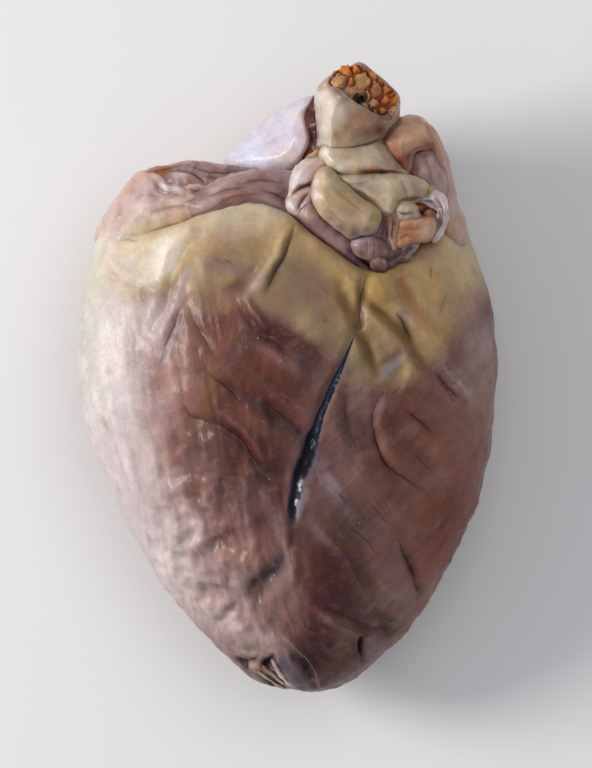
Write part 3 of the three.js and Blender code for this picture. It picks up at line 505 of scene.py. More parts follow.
# The white patches along the bright ridge on the left are a painted highlight
fatPatches = [
    [-34.4, 28.2, 12.5, 6.7, 0, "cream", 0.95], [-42.9, 26, 13.4, 4, 88, "porcelain", 0.9],
    [-10.3, 37.2, 17.9, 2.7, -2, "ecru", 0.9], [-20.1, 30, 6.7, 4.5, 60, "butter", 0.9],
    [-11.2, 26.9, 9.4, 5.8, -10, "olive", 0.9], [-0.9, 19.8, 11.2, 5.8, 70, "bark", 0.9],
    [8, 17.1, 9.8, 5.4, -60, "bark", 0.85], [9.4, 27.6, 10.3, 2.7, -35, "sand", 0.85],
    [32.2, 19.8, 11.2, 8, 70, "honey", 0.95], [39.3, 24.7, 9.8, 3.6, 105, "butter", 0.85],
    [43.3, 10.8, 8.9, 2.7, 95, "dustyRose", 0.85], [21, 6.4, 11.2, 5.4, -60, "olive", 0.8],
    [11.6, 3.7, 8.9, 3.1, -60, "mauveBrown", 0.75], [21.9, -3, 5.8, 3.1, 60, "bark", 0.75],
    [-23.2, 18, 6.7, 2.5, 70, "rose", 0.75], [-17.9, 19.3, 6.3, 2.9, 80, "olive", 0.75],
    [-25, 27.4, 5.8, 0.9, 64, "white", 0.95], [-24.1, 21.5, 5.8, 0.8, 72, "olive", 0.75],
    [-22.3, 28.7, 3.6, 0.9, 50, "sand", 0.6], [-23.4, 20.7, 4.5, 0.6, 72, "ivory", 0.7],
    [-34.4, 22.4, 7.6, 0.9, -25, "ivory", 0.8], [-38.4, 22.7, 2, 0.9, 90, "sand", 0.8],
    [-31.7, 18.9, 2.2, 1, 90, "sand", 0.75], [-35.3, 19.8, 3.6, 0.8, -10, "cream", 0.6],
    [-40.9, 27.8, 3.6, 0.9, 70, "cream", 0.7], [-30.4, 34.1, 6.7, 1.3, 10, "butter", 0.7],
    [-14.3, 32.7, 5.8, 1.6, -5, "dustyRose", 0.7], [-6.9, 34.9, 5.8, 1.8, -10, "sand", 0.7],
    [-13, 24.7, 5.8, 2, -10, "greyMauve", 0.6], [-1.3, 29.6, 8.9, 1, 64, "butter", 0.9],
    [-6.3, 21.1, 3.6, 0.9, 55, "rose", 0.85], [-8.7, 18, 2, 0.8, 20, "palePink", 0.8],
    [-10.3, 20.2, 4, 1.3, 32, "umber", 0.85], [-1.8, 24.2, 5.4, 1, 64, "umber", 0.75],
    [1.3, 30.9, 4.9, 1.3, 66, "olive", 0.7], [5.4, 26, 4.9, 1.8, -45, "olive", 0.6],
    [0.9, 16.4, 5.4, 2.7, 80, "bark", 0.6], [11.2, 23.1, 5.4, 1.6, -45, "gold", 0.75],
    [14.3, 18.9, 6.7, 1.1, -72, "honey", 0.85], [12.7, 16.4, 5.8, 1.1, -68, "darkGold", 0.75],
    [10.3, 12.6, 5.8, 1.1, -62, "olive", 0.6], [17, 17.5, 5.4, 0.7, -85, "russet", 0.7],
    [21.2, 20.7, 4.5, 3.3, 80, "gold", 0.95], [21.4, 18.8, 3, 2, 80, "darkGold", 0.35],
    [5.6, 20, 6, 3, -60, "umber", 0.35], [20.5, 22.9, 3.6, 1.3, 0, "honey", 0.7],
    [20.8, 15.1, 5.4, 1.1, -45, "darkGold", 0.9], [25, 17.5, 3.6, 1.1, -65, "sand", 0.7],
    [25.5, 14, 1.8, 1.3, 0, "dustyRose", 0.8], [22.3, 10.6, 6.7, 1.2, -48, "sand", 0.85],
    [22.8, 7.5, 3.6, 1.8, -40, "sand", 0.6], [18.1, 6.8, 5.8, 1.2, -75, "darkGold", 0.9],
    [15.9, 7.5, 5.4, 0.9, -85, "bark", 0.6], [27.9, 6.4, 7.1, 1.1, -58, "darkGold", 0.9],
    [26.3, 10.8, 2.7, 0.7, -65, "maroon", 0.8], [31.5, 9.3, 5.4, 1.1, -55, "honey", 0.8],
    [30.4, 13.1, 4.5, 1.8, -40, "amber", 0.7], [33.5, 26, 5.8, 2, 20, "honey", 0.75],
    [35.5, 17.5, 5.8, 2.2, 80, "honey", 0.5], [27.2, 19.3, 4.9, 1.3, -68, "rust", 0.85],
    [31, 27.4, 3.1, 0.9, 10, "dustyRose", 0.6], [32.6, 29.6, 2.7, 1.1, 20, "sand", 0.6],
    [23.2, 3.2, 3.8, 1, 38, "blueGrey", 0.9], [25.9, 5.9, 1.8, 0.9, 60, "dustyRose", 0.7],
    [26.6, 1.5, 4.9, 1.1, -80, "sand", 0.7], [25, -2.1, 2.2, 0.9, 60, "olive", 0.6],
    [9.8, -3, 6.7, 1.1, 66, "mauveBrown", 0.7], [14.7, 2.8, 5.4, 1.1, 80, "olive", 0.5],
    [38.2, 36.7, 5.5, 3.6, 80, "porcelain", 0.9], [41.1, 17.5, 5.8, 1.8, 100, "butter", 0.5],
    [-13.4, 26, 2, 0.6, -20, "mauveBrown", 0.5], [-27, 27, 7, 2.6, 64, "white", 0.9],
    [-39.5, 21, 7, 4, 70, "porcelain", 0.7], [-14.7, 18.2, 7, 3, 10, "rosewood", 0.6],
    [-44, 19, 12, 3.2, 88, "oyster", 0.8], [39.5, 15, 8, 4, -60, "dustyRose", 0.45],
    [39, 26.5, 6, 5, 0, "cream", 0.3], [-32.6, 26.5, 6, 4, 0, "ivory", 0.4],
    [-39.3, 22, 5, 4, 80, "butter", 0.35], [-10.3, 34.3, 9, 3, 0, "cream", 0.5],
    [-20, 33, 7, 2.4, 30, "cream", 0.5],
]
# Patches of film: the same without a shade
filmPatches = [
    [-38.9, -11.5, 33.5, 11.2, 98, 0.7], [-22.6, -38.3, 22.3, 8.9, 130, 0.55],
    [-8, -28.2, 8.9, 7.6, 110, 0.4], [10.9, -24.9, 9, 2.4, -60, 0.6], [24.3, -11.5, 15.6, 4.5, -50, 0.3],
    [25.9, 3.7, 5.8, 2.7, 35, 0.4], [38.9, -1.2, 6.7, 1.8, -48, 0.6], [-30.4, 10.8, 13.4, 6.7, 80, 0.6],
    [-9.2, -53.9, 9.8, 5.8, 130, 0.45], [41.1, 6.4, 8.9, 4.9, 90, 0.35], [-0.2, -40.5, 11.2, 3.6, -75, 0.4],
]
# Knobbly stretches of the muscle: x, y, half length, half width and turn
knobblyPatches = [[-18, -28, 20, 11, 110], [-15, -46, 18, 9, 130]]

# Noise along the fibres: sizes in mm across, along and into them, upright ones first, then slanting
fibres = {
    "wrinkleSizes": [(2.4, 13, 8), (2.2, 12, 8)],
    "bundleSizes": [(5, 19, 9), (5, 18, 9)],
    "lean": 0.18,  # of the upright ones
}


def patchShare(x, y, patch):
    # exp(-(a^2 + b^2) ** 1.4) in the patch's own turned axes a and b, in half lengths and half widths
    px, py, length, width, turn = patch[:5]
    turn = np.radians(turn)
    a = ((x - px) * np.cos(turn) + (y - py) * np.sin(turn)) / length
    b = ((y - py) * np.cos(turn) - (x - px) * np.sin(turn)) / width
    return np.exp(-((a * a + b * b) ** 1.4))


def sectionAt(y):
    # middle, height, half width and half depth of the ventricles at y
    v = ventricles
    s = np.sqrt(np.clip((y - v["apexY"]) / (v["baseY"] - v["apexY"]), 0, 1))
    left, right = along(v["leftEdge"], s), along(v["rightEdge"], s)
    halfWidth = (right - left) / 2
    height = v["bellyHeight"] - v["apexDroop"] * (1 - s) ** 2
    return (left + right) / 2, height, halfWidth, v["depthShare"] * halfWidth


def rimHeight(x):
    # height in y of the upper edge at x, from its even steps
    return along(ventricles["rimHeights"], (x + ventricles["rimReach"]) / (2 * ventricles["rimReach"]))


def ventricleSurface():
    # an oval section at y, half width by half depth, from the apex up to the rim, then a quarter turn of
    # the lip and straight lines to the middle of the base
    v = ventricles
    u = np.arange(v["columns"]) / v["columns"]
    angle = 2 * np.pi * u + v["frontCrowding"] * np.cos(2 * np.pi * u)
    wall = np.linspace(0, 1, v["wallRows"])
    crowd = v["apexCrowding"]
    rise = (1 + crowd) * wall**2 / (wall + crowd)
    turns = np.linspace(0, np.pi / 2, v["lipRows"] + 1)[1:]
    lids = np.linspace(0, 1, v["lidRows"] + 1)[1:]
    rise = np.concatenate([rise, np.ones(len(turns) + len(lids))])[:, None]
    turn = np.concatenate([np.zeros(len(wall)), turns, np.full(len(lids), np.pi / 2)])[:, None]
    lid = np.concatenate([np.zeros(len(wall) + len(turns)), lids])[:, None, None]
    c, s = np.cos(angle)[None], np.sin(angle)[None]
    front = smoothStep(-0.2, 0.3, s)
    edgeX, _, edgeWidth, _ = sectionAt(np.array(32.0))
    rimY = mix(v["backRimY"], rimHeight(edgeX + edgeWidth * c), front)
    y = v["apexY"] + (rimY - v["lipRadius"] - v["apexY"]) * rise + v["lipRadius"] * np.sin(turn)
    middle, height, halfWidth, halfDepth = sectionAt(y)
    inward = v["lipRadius"] * (1 - np.cos(turn))
    points = np.stack([middle + (halfWidth - inward) * c, y, height + (halfDepth - inward) * s], axis=2)
    fade = front * smoothStep(0.1, 0.5, s) * np.cos(turn)
    points = mix(points, np.array(v["lidCentre"], float), lid)
    return points, fade, np.broadcast_to(s, y.shape), np.broadcast_to(np.cos(turn), y.shape)


def foldRelief(x, y, folds):
    # depth * exp(-(distance / width)^2), fading to both ends; and the painted shade in the bed of each
    # fold, a painted highlight where it is negative
    relief, shade = np.zeros(x.shape), np.zeros(x.shape)
    for depth, width, dark, _, path in folds:
        path = smoothPath(path)
        low, high = path.min(axis=0) - 3 * width, path.max(axis=0) + 3 * width
        near = (x > low[0]) & (x < high[0]) & (y > low[1]) & (y < high[1])
        distance, share, _ = nearestOnPath(path, x[near], y[near])
        fade = np.sqrt(np.sin(np.pi * np.clip(share, 0.06, 0.94)))
        bed = fade * np.exp(-((distance / width) ** 2))
        relief[near] += depth * bed
        shade[near] += dark * bed
    return relief, shade


def creaseLines(x, y, creases):
    # distance to the nearest line, negative on the right of its own direction, and the line's strength,
    # which fades at both its ends, 2 mm away from it and halfway to the next line. The lines are painted
    # shade in creases, and painted highlights where the strength is negative
    best, second = np.full(x.shape, 9.0), np.full(x.shape, 9.0)
    signed, strength = np.full(x.shape, 9.0), np.zeros(x.shape)
    for dark, path in creases:
        path = smoothPath(path)
        low, high = path.min(axis=0) - 2.5, path.max(axis=0) + 2.5
        near = (x > low[0]) & (x < high[0]) & (y > low[1]) & (y < high[1])
        distance, share, side = nearestOnPath(path, x[near], y[near])
        nearer = distance < best[near]
        second[near] = np.where(nearer, best[near], np.minimum(second[near], distance))
        best[near] = np.where(nearer, distance, best[near])
        fade = dark * np.sqrt(np.sin(np.pi * share)) * smoothStep(2.2, 1.2, distance)
        signed[near] = np.where(nearer, distance * side, signed[near])
        strength[near] = np.where(nearer, fade, strength[near])
    return signed, strength * smoothStep(0.05, 0.45, second - best)


def veinAt(x, y):
    # distance across the vein over its half width, positive on the viewer's right because its path
    # runs down, a share that is 1 along its length, and the place 0..1 along it
    path = smoothPath(frontVein["path"])
    distance, share, side = nearestOnPath(path, x, y)
    across = np.clip(distance * side / along(frontVein["halfWidths"], share), -6, 6)
    ends = smoothStep(0, 0.03, share) * (1 - smoothStep(0.9, 1, share))
    return across, ends * smoothStep(6, 4, np.abs(across)), share


def fibreWrinkles(points):
    # noise stretched along the muscle: upright on the left, slanting down to the right beyond the
    # middle. Returns its narrow ridges, its broad bundles and how slanting it is.
    x, y, z = points[..., 0], points[..., 1], points[..., 2]
    slant = smoothStep(-6, 14, x + 0.2 * (y + 10))
    upright = np.stack([x + fibres["lean"] * y, y, z], axis=-1)
    slanting = np.stack([(x + y) / np.sqrt(2), (x - y) / np.sqrt(2), z], axis=-1)
    fine, broad = fibres["wrinkleSizes"], fibres["bundleSizes"]
    ridged = mix(layeredNoise(upright, fine[0], 11), layeredNoise(slanting, fine[1], 23), slant)
    bundles = mix(layeredNoise(upright, broad[0], 13), layeredNoise(slanting, broad[1], 29), slant)
    return 1 - 2 * np.abs(ridged), bundles, slant


def fatShare(points, faces):
    # 0 on the muscle, 1 on the fat over the shown face and the back and along the groove of the back
    f = fatEdge
    x, y = points[..., 0], points[..., 1]
    wobble = layeredNoise(points, 7, 41)
    place = (x + f["reach"]) / (2 * f["reach"])
    edge = along(f["heights"], place) + f["wobble"] * wobble
    frontFat = smoothStep(-1, 1, (y - edge) / along(f["softness"], place))
    backFat = smoothStep(-1, 1, (y - f["backHeight"] - f["backWobble"] * wobble) / f["backSoftness"])
    grooveX = sectionAt(y)[0] + f["grooveShift"] + f["grooveSwing"] * np.sin(y / f["grooveWave"])
    grooveWidth = f["grooveWidth"] + f["grooveWidening"] * (y - ventricles["apexY"])
    seam = np.exp(-(((x - grooveX) / grooveWidth) ** 2)) * smoothStep(-62, -20, y)
    return mix(np.maximum(backFat, f["grooveShare"] * seam), frontFat, faces)


def paintPatches(tone, patches, x, y, faces):
    # each patch's shade mixed in, one after the other, by its share and its strength
    for patch in patches:
        share = patchShare(x, y, patch)[..., None] * patch[6] * faces
        tone = mix(tone, linearTone(patch[5]), share)
    return tone


def paintVentricles(points, faces, relief, shade, crevice, fat):
    # the muscle's and the fat's shades under their patches, each mixed in turn by its strength, with
    # painted shade in the beds of the folds and in the crevices by the forms, painted highlights on their
    # banks and painted light that grows with the relief; and the film's share
    v = ventricles
    x, y = points[..., 0], points[..., 1]
    wobble, wobbleFine = layeredNoise(points, 7, 41), layeredNoise(points, 2.5, 47)
    wx = x + v["patchWander"] * wobble
    wy = y + v["patchWander"] * layeredNoise(points, 7, 53)
    faces = faces[..., None]
    muscle = np.broadcast_to(linearTone("muscleGround"), points.shape)
    muscle = paintPatches(muscle, musclePatches, wx, wy, faces)
    streaks = v["streakShare"] + v["streakSwing"] * layeredNoise(points, (5, 14, 5), 61)
    streaks = np.clip(streaks, 0, 1)[..., None]
    tip = smoothStep(-25, -50, y - 0.35 * x)[..., None]
    away = (1 - faces) * (1 - v["tipDarkness"] * tip)
    muscle = mix(muscle, linearTone("backFibre"), away * streaks)
    fatTone = np.broadcast_to(linearTone("fatGround"), points.shape)
    fatTone = mix(fatTone, linearTone("backFat"), (1 - faces) * v["backFatShare"])
    fatTone = paintPatches(fatTone, fatPatches, wx, wy, faces)
    film = sum(patchShare(wx, wy, patch) * patch[5] for patch in filmPatches) * faces[..., 0]
    film = np.clip(film + v["backFilm"] * away[..., 0], 0, 1) * (1 - v["filmUnderFat"] * fat)
    # painted shade in the fold beds, painted highlights on the banks, painted light rising with the relief
    bed, bank = np.clip(shade, 0, 0.95)[..., None], np.clip(-shade, 0, 1)[..., None]
    height = 1 + v["heightLight"] * np.clip(relief, -2, 2) + v["fineLight"] * wobbleFine
    height = height[..., None]
    # painted shade in the crevices where the forms meet the ventricles
    crevice = v["creviceShare"] * crevice[..., None]
    painted = []
    for tone, bedTone in ((muscle, "muscleBedShadow"), (fatTone, "fatBedShadow")):
        tone = mix(tone, tone * linearTone(bedTone) * v["bedTint"], bed)
        tone = tone * (1 + v["bankLight"] * bank) * height
        painted.append(np.clip(mix(tone, linearTone("fatCreviceShadow"), crevice), 0.002, 1))
    return painted[0], painted[1], film


# Forms at the base and the apex. An outline gives x, y and height of the rim, and depth how far it
# reaches down; a path is the middle of a rolled form with half widths and thicknesses. blend rounds
# the joint with the neighbours, crease is how dark the painted shade along that joint is, tints are
# x, y, radius, shade and strength, and folds are depth, width, shade and path, with a line twice as
# dark as their shade, 1 at most; a fold's shade and line are painted shade in it, and a painted
# highlight where they are negative
usualForm = {"blend": 0.5, "crease": 0.7, "wrinkle": 0.12, "lump": 0.3, "dome": 0.3, "tints": [], "folds": []}
forms = {}
forms["backAtrium"] = usualForm | {
    "path": [[-38.6, 30.9, 20], [-20.1, 34.1, 19], [2.2, 40.8, 19], [23.7, 42.1, 20], [32.2, 34.1, 22]],
    "wide": [8, 9.4, 10.7, 10.3, 7.6], "thick": [14, 17, 17, 16, 14], "shades": ["dustyRose", "rosewood"],
    "blend": 3, "crease": 0.35, "wrinkle": 0.55, "lump": 1.3,
    "tints": [[-25.9, 33.2, 5.8, "shell", 0.5], [3.1, 39.9, 5.4, "dustyRose", 0.5],
        [21, 39.9, 5.4, "rose", 0.5]],
}
forms["rootOfVessels"] = usualForm | {
    "path": [[9.8, 30.5, 33], [14.7, 41, 35], [18.8, 50.1, 35]],
    "wide": [14.7, 14.7, 10.3], "thick": [13, 13, 12], "shades": ["maroon", "wine"], "wrinkle": 0.3,
    "lump": 0.4,
}
forms["leftAuricle"] = usualForm | {
    "outline": [[30.8, 53.3, 33], [32.2, 54.6, 33], [33.5, 52.8, 34], [34.8, 50.1, 35], [36, 47, 36],
        [36.6, 43.9, 36.5], [37.3, 40.8, 37], [38.2, 37.6, 37], [39.1, 34.5, 36.5], [39.5, 30.9, 35],
        [37.3, 29.6, 37], [35.7, 32.3, 40], [34.8, 35.8, 41], [33.9, 39.4, 41], [33, 43, 40],
        [32.2, 47, 38], [31.5, 50.1, 36]],
    "centre": (35.7, 39.9), "rise": 3, "edge": 3.5, "depth": 12, "dome": 0.6, "shades": ["shell", "rose"],
    "blend": 3.5, "crease": 0.15, "lump": 0.4,
    "tints": [[37.7, 36.5, 1.8, "palePink", 0.4], [34.8, 47, 1.8, "fawn", 0.7],
        [36.2, 42.1, 1.8, "dustyRose", 0.6], [38, 34.9, 2, "fawn", 0.6], [35.3, 36.7, 1.3, "palePink", 0.6],
        [36.6, 31.8, 1.8, "beige", 0.8]],
    "folds": [[-0.3, 0.9, 0.1, [[34.6, 45.2], [35.7, 41.2], [36.6, 37.2]]]],
}
forms["paleFlap"] = usualForm | {
    "outline": [[-14.3, 46.8, 29], [-13, 49.2, 28], [-10.7, 51.7, 28], [-8, 54.4, 28], [-4.9, 57.1, 29],
        [-1.3, 59.5, 30], [2, 61.3, 32], [4.5, 62.2, 34], [6.5, 62.4, 36.5], [6.5, 60.8, 38],
        [5.6, 59.1, 38], [5.4, 57.1, 38], [6, 55.3, 39], [6.5, 53, 40], [5.6, 50.8, 40], [4, 48.6, 39],
        [2.5, 46.8, 38], [0, 45.4, 37], [-4, 44.8, 36], [-8.5, 45, 34], [-12.1, 45.7, 31]],
    "centre": (-3.1, 51.9), "rise": 3.6, "edge": 3, "depth": 12, "dome": 3.2, "shades": ["pearl", "pearl"],
    "blend": 0.7, "crease": 0.6, "wrinkle": 0.08, "lump": 0.25,
    "tints": [[6.3, 52.8, 1.1, "liver", 0.9], [5.4, 59.5, 0.9, "liver", 0.7],
        [5.1, 57.3, 0.8, "liver", 0.8], [4.9, 50.1, 1.1, "clay", 0.8], [5.8, 57.3, 0.7, "liver", 0.7],
        [3.6, 48.3, 1.1, "clay", 0.7], [0, 47.9, 2.2, "porcelain", 0.5], [-8, 49, 3.6, "ice", 0.9],
        [3.1, 58.2, 2.2, "porcelain", 0.7], [4.5, 53.3, 1.6, "shell", 0.6],
        [-3.1, 53.7, 2.7, "lilac", 0.25]],
    "folds": [[-0.4, 1.2, 0.06, [[-5.4, 51], [-2.2, 53.3], [0.9, 54.6]]],
        [-0.5, 0.5, 0.2, [[4.9, 57.7], [5.4, 55.3], [5.8, 53], [5.1, 51], [3.8, 49.2]]],
        [0.5, 1, -0.08, [[3.1, 59.5], [3.8, 56.4], [4.5, 53.3], [3.3, 50.1], [0.9, 47.5]]]],
}
# a dark piece filling the gap between the flap and the vessel: painted shade in that gap
forms["darkGap"] = usualForm | {
    "outline": [[6.3, 62.4, 41], [7.4, 60.4, 42.5], [7.4, 56.6, 44], [7.4, 52.8, 45], [6.7, 49.7, 45],
        [4.9, 47.9, 41], [3.1, 47.5, 39], [4, 50.6, 40], [4.9, 53.7, 41.5], [4.5, 57.3, 41.5],
        [4.9, 60, 40.5]],
    "centre": (5.6, 55.5), "rise": 1, "edge": 3, "depth": 8, "dome": 0, "shades": ["liver", "clot"],
    "blend": 0.3, "crease": 0.8, "wrinkle": 0.2,
}
forms["auricleShoulder"] = usualForm | {
    "outline": [[-41.5, 30.9, 29], [-41.1, 33.4, 28], [-40, 35.8, 27], [-38.4, 38.1, 27], [-36.2, 39.4, 30],
        [-33.9, 38.1, 36], [-32.8, 34.9, 40], [-33.5, 31.8, 41], [-36.6, 30.3, 39], [-39.7, 29.6, 34]],
    "centre": (-38, 34.1), "rise": 5, "edge": 7, "depth": 12, "dome": 1, "shades": ["palePink", "shell"],
    "blend": 3.5, "crease": 0.02,
    "tints": [[-36.6, 34.5, 0.9, "dustyRose", 0.45], [-39.7, 31.8, 1.8, "ivory", 0.6]],
}
forms["auricleBack"] = usualForm | {
    "outline": [[-32.6, 43.4, 37], [-31, 45.2, 37], [-29, 46.3, 37], [-26.3, 46.8, 37], [-23.2, 47.5, 38],
        [-19.2, 47.5, 39], [-15.2, 47, 40], [-11.2, 46.6, 41], [-7.1, 45.9, 42], [-3.6, 44.5, 43],
        [-7.6, 43, 44], [-12.1, 42.1, 44], [-16.5, 41.2, 43], [-19.7, 40.8, 43], [-23.7, 41.6, 42],
        [-28.1, 42.5, 40]],
    "centre": (-19.2, 44.8), "rise": 3.6, "edge": 3.5, "depth": 12, "dome": 1,
    "shades": ["rosewood", "greyMauve"], "blend": 1, "crease": 0.5, "wrinkle": 0.3, "lump": 0.35,
    "tints": [[-30.8, 45.2, 1.3, "rust", 0.85], [-27.7, 46.6, 1.6, "rust", 0.85],
        [-24.8, 47, 1.3, "bark", 0.6], [-17.9, 45.9, 3.1, "dustyRose", 0.7],
        [-23.7, 45.2, 1.8, "palePink", 0.7], [-9.8, 44.8, 2.9, "mauveBrown", 0.5],
        [-14.3, 43.4, 2, "dustyRose", 0.5]],
    "folds": [[-0.6, 0.6, 0.45, [[-25.5, 46.1], [-22.8, 46.1], [-20.1, 45], [-17.9, 43.4]]],
        [-0.4, 0.5, 0.35, [[-20.1, 46.6], [-16.1, 45.7], [-11.2, 45.4], [-7.6, 44.8]]],
        [-0.4, 0.5, 0.3, [[-17.9, 44.8], [-14.3, 44.3], [-10.7, 43.4]]],
        [0.4, 0.6, -0.1, [[-24.1, 45.7], [-21.4, 45.2], [-19.2, 43.9]]]],
}
forms["auricleLeft"] = usualForm | {
    "outline": [[-38, 32.3, 36], [-38, 35.8, 34], [-37.3, 39.4, 33], [-35.7, 42.3, 34], [-33.3, 44.3, 36],
        [-30.8, 45.2, 38.5], [-28.6, 44.3, 41], [-26.3, 42.8, 43], [-23.2, 42.1, 44], [-19.7, 42.3, 45],
        [-17, 41.2, 46], [-17, 38.5, 46], [-19.2, 36.3, 45], [-22.8, 34.9, 44.3], [-26.8, 33.4, 42.6],
        [-30.8, 31.6, 40.2], [-34.4, 30.7, 37.4]],
    "centre": (-28.6, 38.5), "rise": 6, "edge": 7, "depth": 14, "dome": 1.5, "shades": ["shell", "rose"],
    "blend": 2.2, "crease": 0.06, "wrinkle": 0.15, "lump": 0.45,
    "tints": [[-32.6, 38.1, 2.7, "palePink", 0.5], [-29.9, 33.6, 3.3, "porcelain", 0.75],
        [-33.9, 32.3, 2.2, "ivory", 0.8], [-26.3, 33.2, 2, "cream", 0.5], [-31.3, 35.6, 0.7, "clay", 0.4],
        [-28.6, 36.7, 0.7, "clay", 0.35], [-36.8, 36.3, 0.9, "rose", 0.6], [-30.4, 44.3, 1.6, "shell", 0.6],
        # the porcelain tints near -25, 42 are a painted wet highlight, the maroon one at -19, 42 painted
        # shade
        [-26.3, 40.1, 2.7, "shell", 0.6], [-26.8, 42.5, 1.3, "porcelain", 0.9],
        [-23.7, 42.1, 1.3, "porcelain", 0.7], [-30.4, 36.3, 1.8, "palePink", 0.4],
        [-19.2, 41.6, 1.6, "maroon", 0.75], [-20.1, 38.5, 2.2, "dustyRose", 0.6],
        [-24.1, 38.1, 2, "palePink", 0.4], [-34.4, 42.1, 1.1, "tan", 0.5], [-37.1, 31.4, 1.8, "ivory", 0.8],
        [-34.2, 32, 2.2, "cream", 0.9], [-30.4, 32.9, 2.5, "straw", 0.6], [-30.4, 33.2, 2.2, "cream", 0.7],
        [-26.3, 34.1, 2, "straw", 0.6], [-22.8, 35.4, 1.6, "straw", 0.5], [-21.4, 38.7, 1.8, "rose", 0.45]],
    "folds": [[-0.5, 0.8, 0.12, [[-37.1, 31.8], [-37.1, 35.4], [-36.6, 39]]],
        [-0.8, 0.8, 0.3, [[-29, 44.3], [-28.1, 42.3], [-25.9, 41.2], [-22.3, 40.5]]],
        [0.7, 0.9, -0.15, [[-27.7, 43.9], [-26.3, 42.5], [-24.1, 42.1], [-21.9, 42.3]]],
        [-1, 0.9, 0.5, [[-21.4, 42.1], [-19.7, 41.6], [-17.9, 42.1]]],
        [-0.5, 1.2, 0.15, [[-33.9, 39.9], [-30.8, 40.8], [-26.3, 39.9]]],
        [-0.4, 1, 0.15, [[-30.4, 36.7], [-25.9, 37.6], [-21.4, 38.3]]],
        [0.4, 1.2, 0, [[-32.6, 42.1], [-30.4, 39.9], [-30.4, 36.7]]],
        [-0.5, 0.6, 0.3, [[-22.3, 39], [-19.7, 39.9], [-17.4, 40.5]]]],
}
forms["auricleFrontBand"] = usualForm | {
    "outline": [[-22.8, 39.2, 44], [-21, 40.3, 45], [-18.3, 41.4, 46], [-16.1, 42.8, 46], [-13, 44.1, 46],
        [-8.9, 45.2, 46], [-4.5, 45.9, 46], [-0.4, 45.9, 45.5], [2.2, 45, 45.5], [3.1, 42.5, 46],
        [2.2, 39, 47], [0.9, 35.8, 48], [-2.2, 35.4, 49], [-6.3, 36.7, 49], [-10.3, 37.2, 49],
        [-14.3, 36.3, 48], [-18.3, 35.4, 47], [-21.4, 36.3, 45]],
    "centre": (-10.3, 41.6), "rise": 5, "edge": 5, "depth": 12, "dome": 1.2,
    "shades": ["dustyRose", "taupe"], "blend": 1.4, "crease": 0.5, "wrinkle": 0.22, "lump": 0.35,
    "tints": [[-18.1, 38.7, 2.7, "rose", 0.6], [-6.3, 43, 3.6, "rosewood", 0.7],
        [-0.4, 40.3, 2.7, "mauveBrown", 0.8], [-9.4, 40.8, 2.2, "rosewood", 0.5],
        [-13, 38.7, 1.8, "brick", 0.5], [-15.6, 41.6, 1.3, "shell", 0.5], [-21.4, 38.7, 2, "shell", 0.4]],
    "folds": [[-0.5, 0.7, 0.25, [[-17.9, 39.9], [-13.4, 41.6], [-8, 42.5]]],
        [-0.5, 0.7, 0.3, [[-10.3, 43], [-5.4, 43.9], [-0.4, 43]]],
        [-0.4, 0.7, 0.2, [[-15.6, 38.1], [-11.2, 40.3], [-5.4, 40.8]]],
        [-0.5, 0.7, 0.3, [[-5.4, 41.6], [-1.3, 40.3], [1.3, 38.1]]],
        [0.4, 0.7, -0.08, [[-17, 40.8], [-13, 42.8], [-8.5, 43.9]]]],
}
forms["auricleEdge"] = usualForm | {
    "path": [[-34.6, 43, 35.5], [-32.6, 44.8, 37.5], [-30.4, 45.9, 38.5], [-27.7, 46.7, 39],
        [-25, 46.9, 39.5]],
    "wide": [0.2, 0.4, 0.4, 0.4, 0.3], "thick": [1.6, 1.8, 1.8, 1.6, 1.2], "shades": ["clay", "brick"],
    "blend": 1.4, "crease": 0.15, "wrinkle": 0.15, "lump": 0.2,
}
forms["rightRim"] = usualForm | {
    "path": [[29.9, 56.4, 35], [31.9, 53.9, 36], [33.5, 50.8, 37], [34.4, 47.5, 37.5], [34.8, 43.9, 38]],
    "wide": [1.1, 1.3, 1.2, 1, 0.7], "thick": [7, 8, 8, 7, 6], "shades": ["fawn", "rosewood"], "blend": 2,
    "crease": 0.08,
    "tints": [[32.2, 53.7, 1.8, "apricot", 0.5], [33.9, 51, 1.6, "fawn", 0.5],
        [34.6, 47, 1.3, "dustyRose", 0.5]],
}
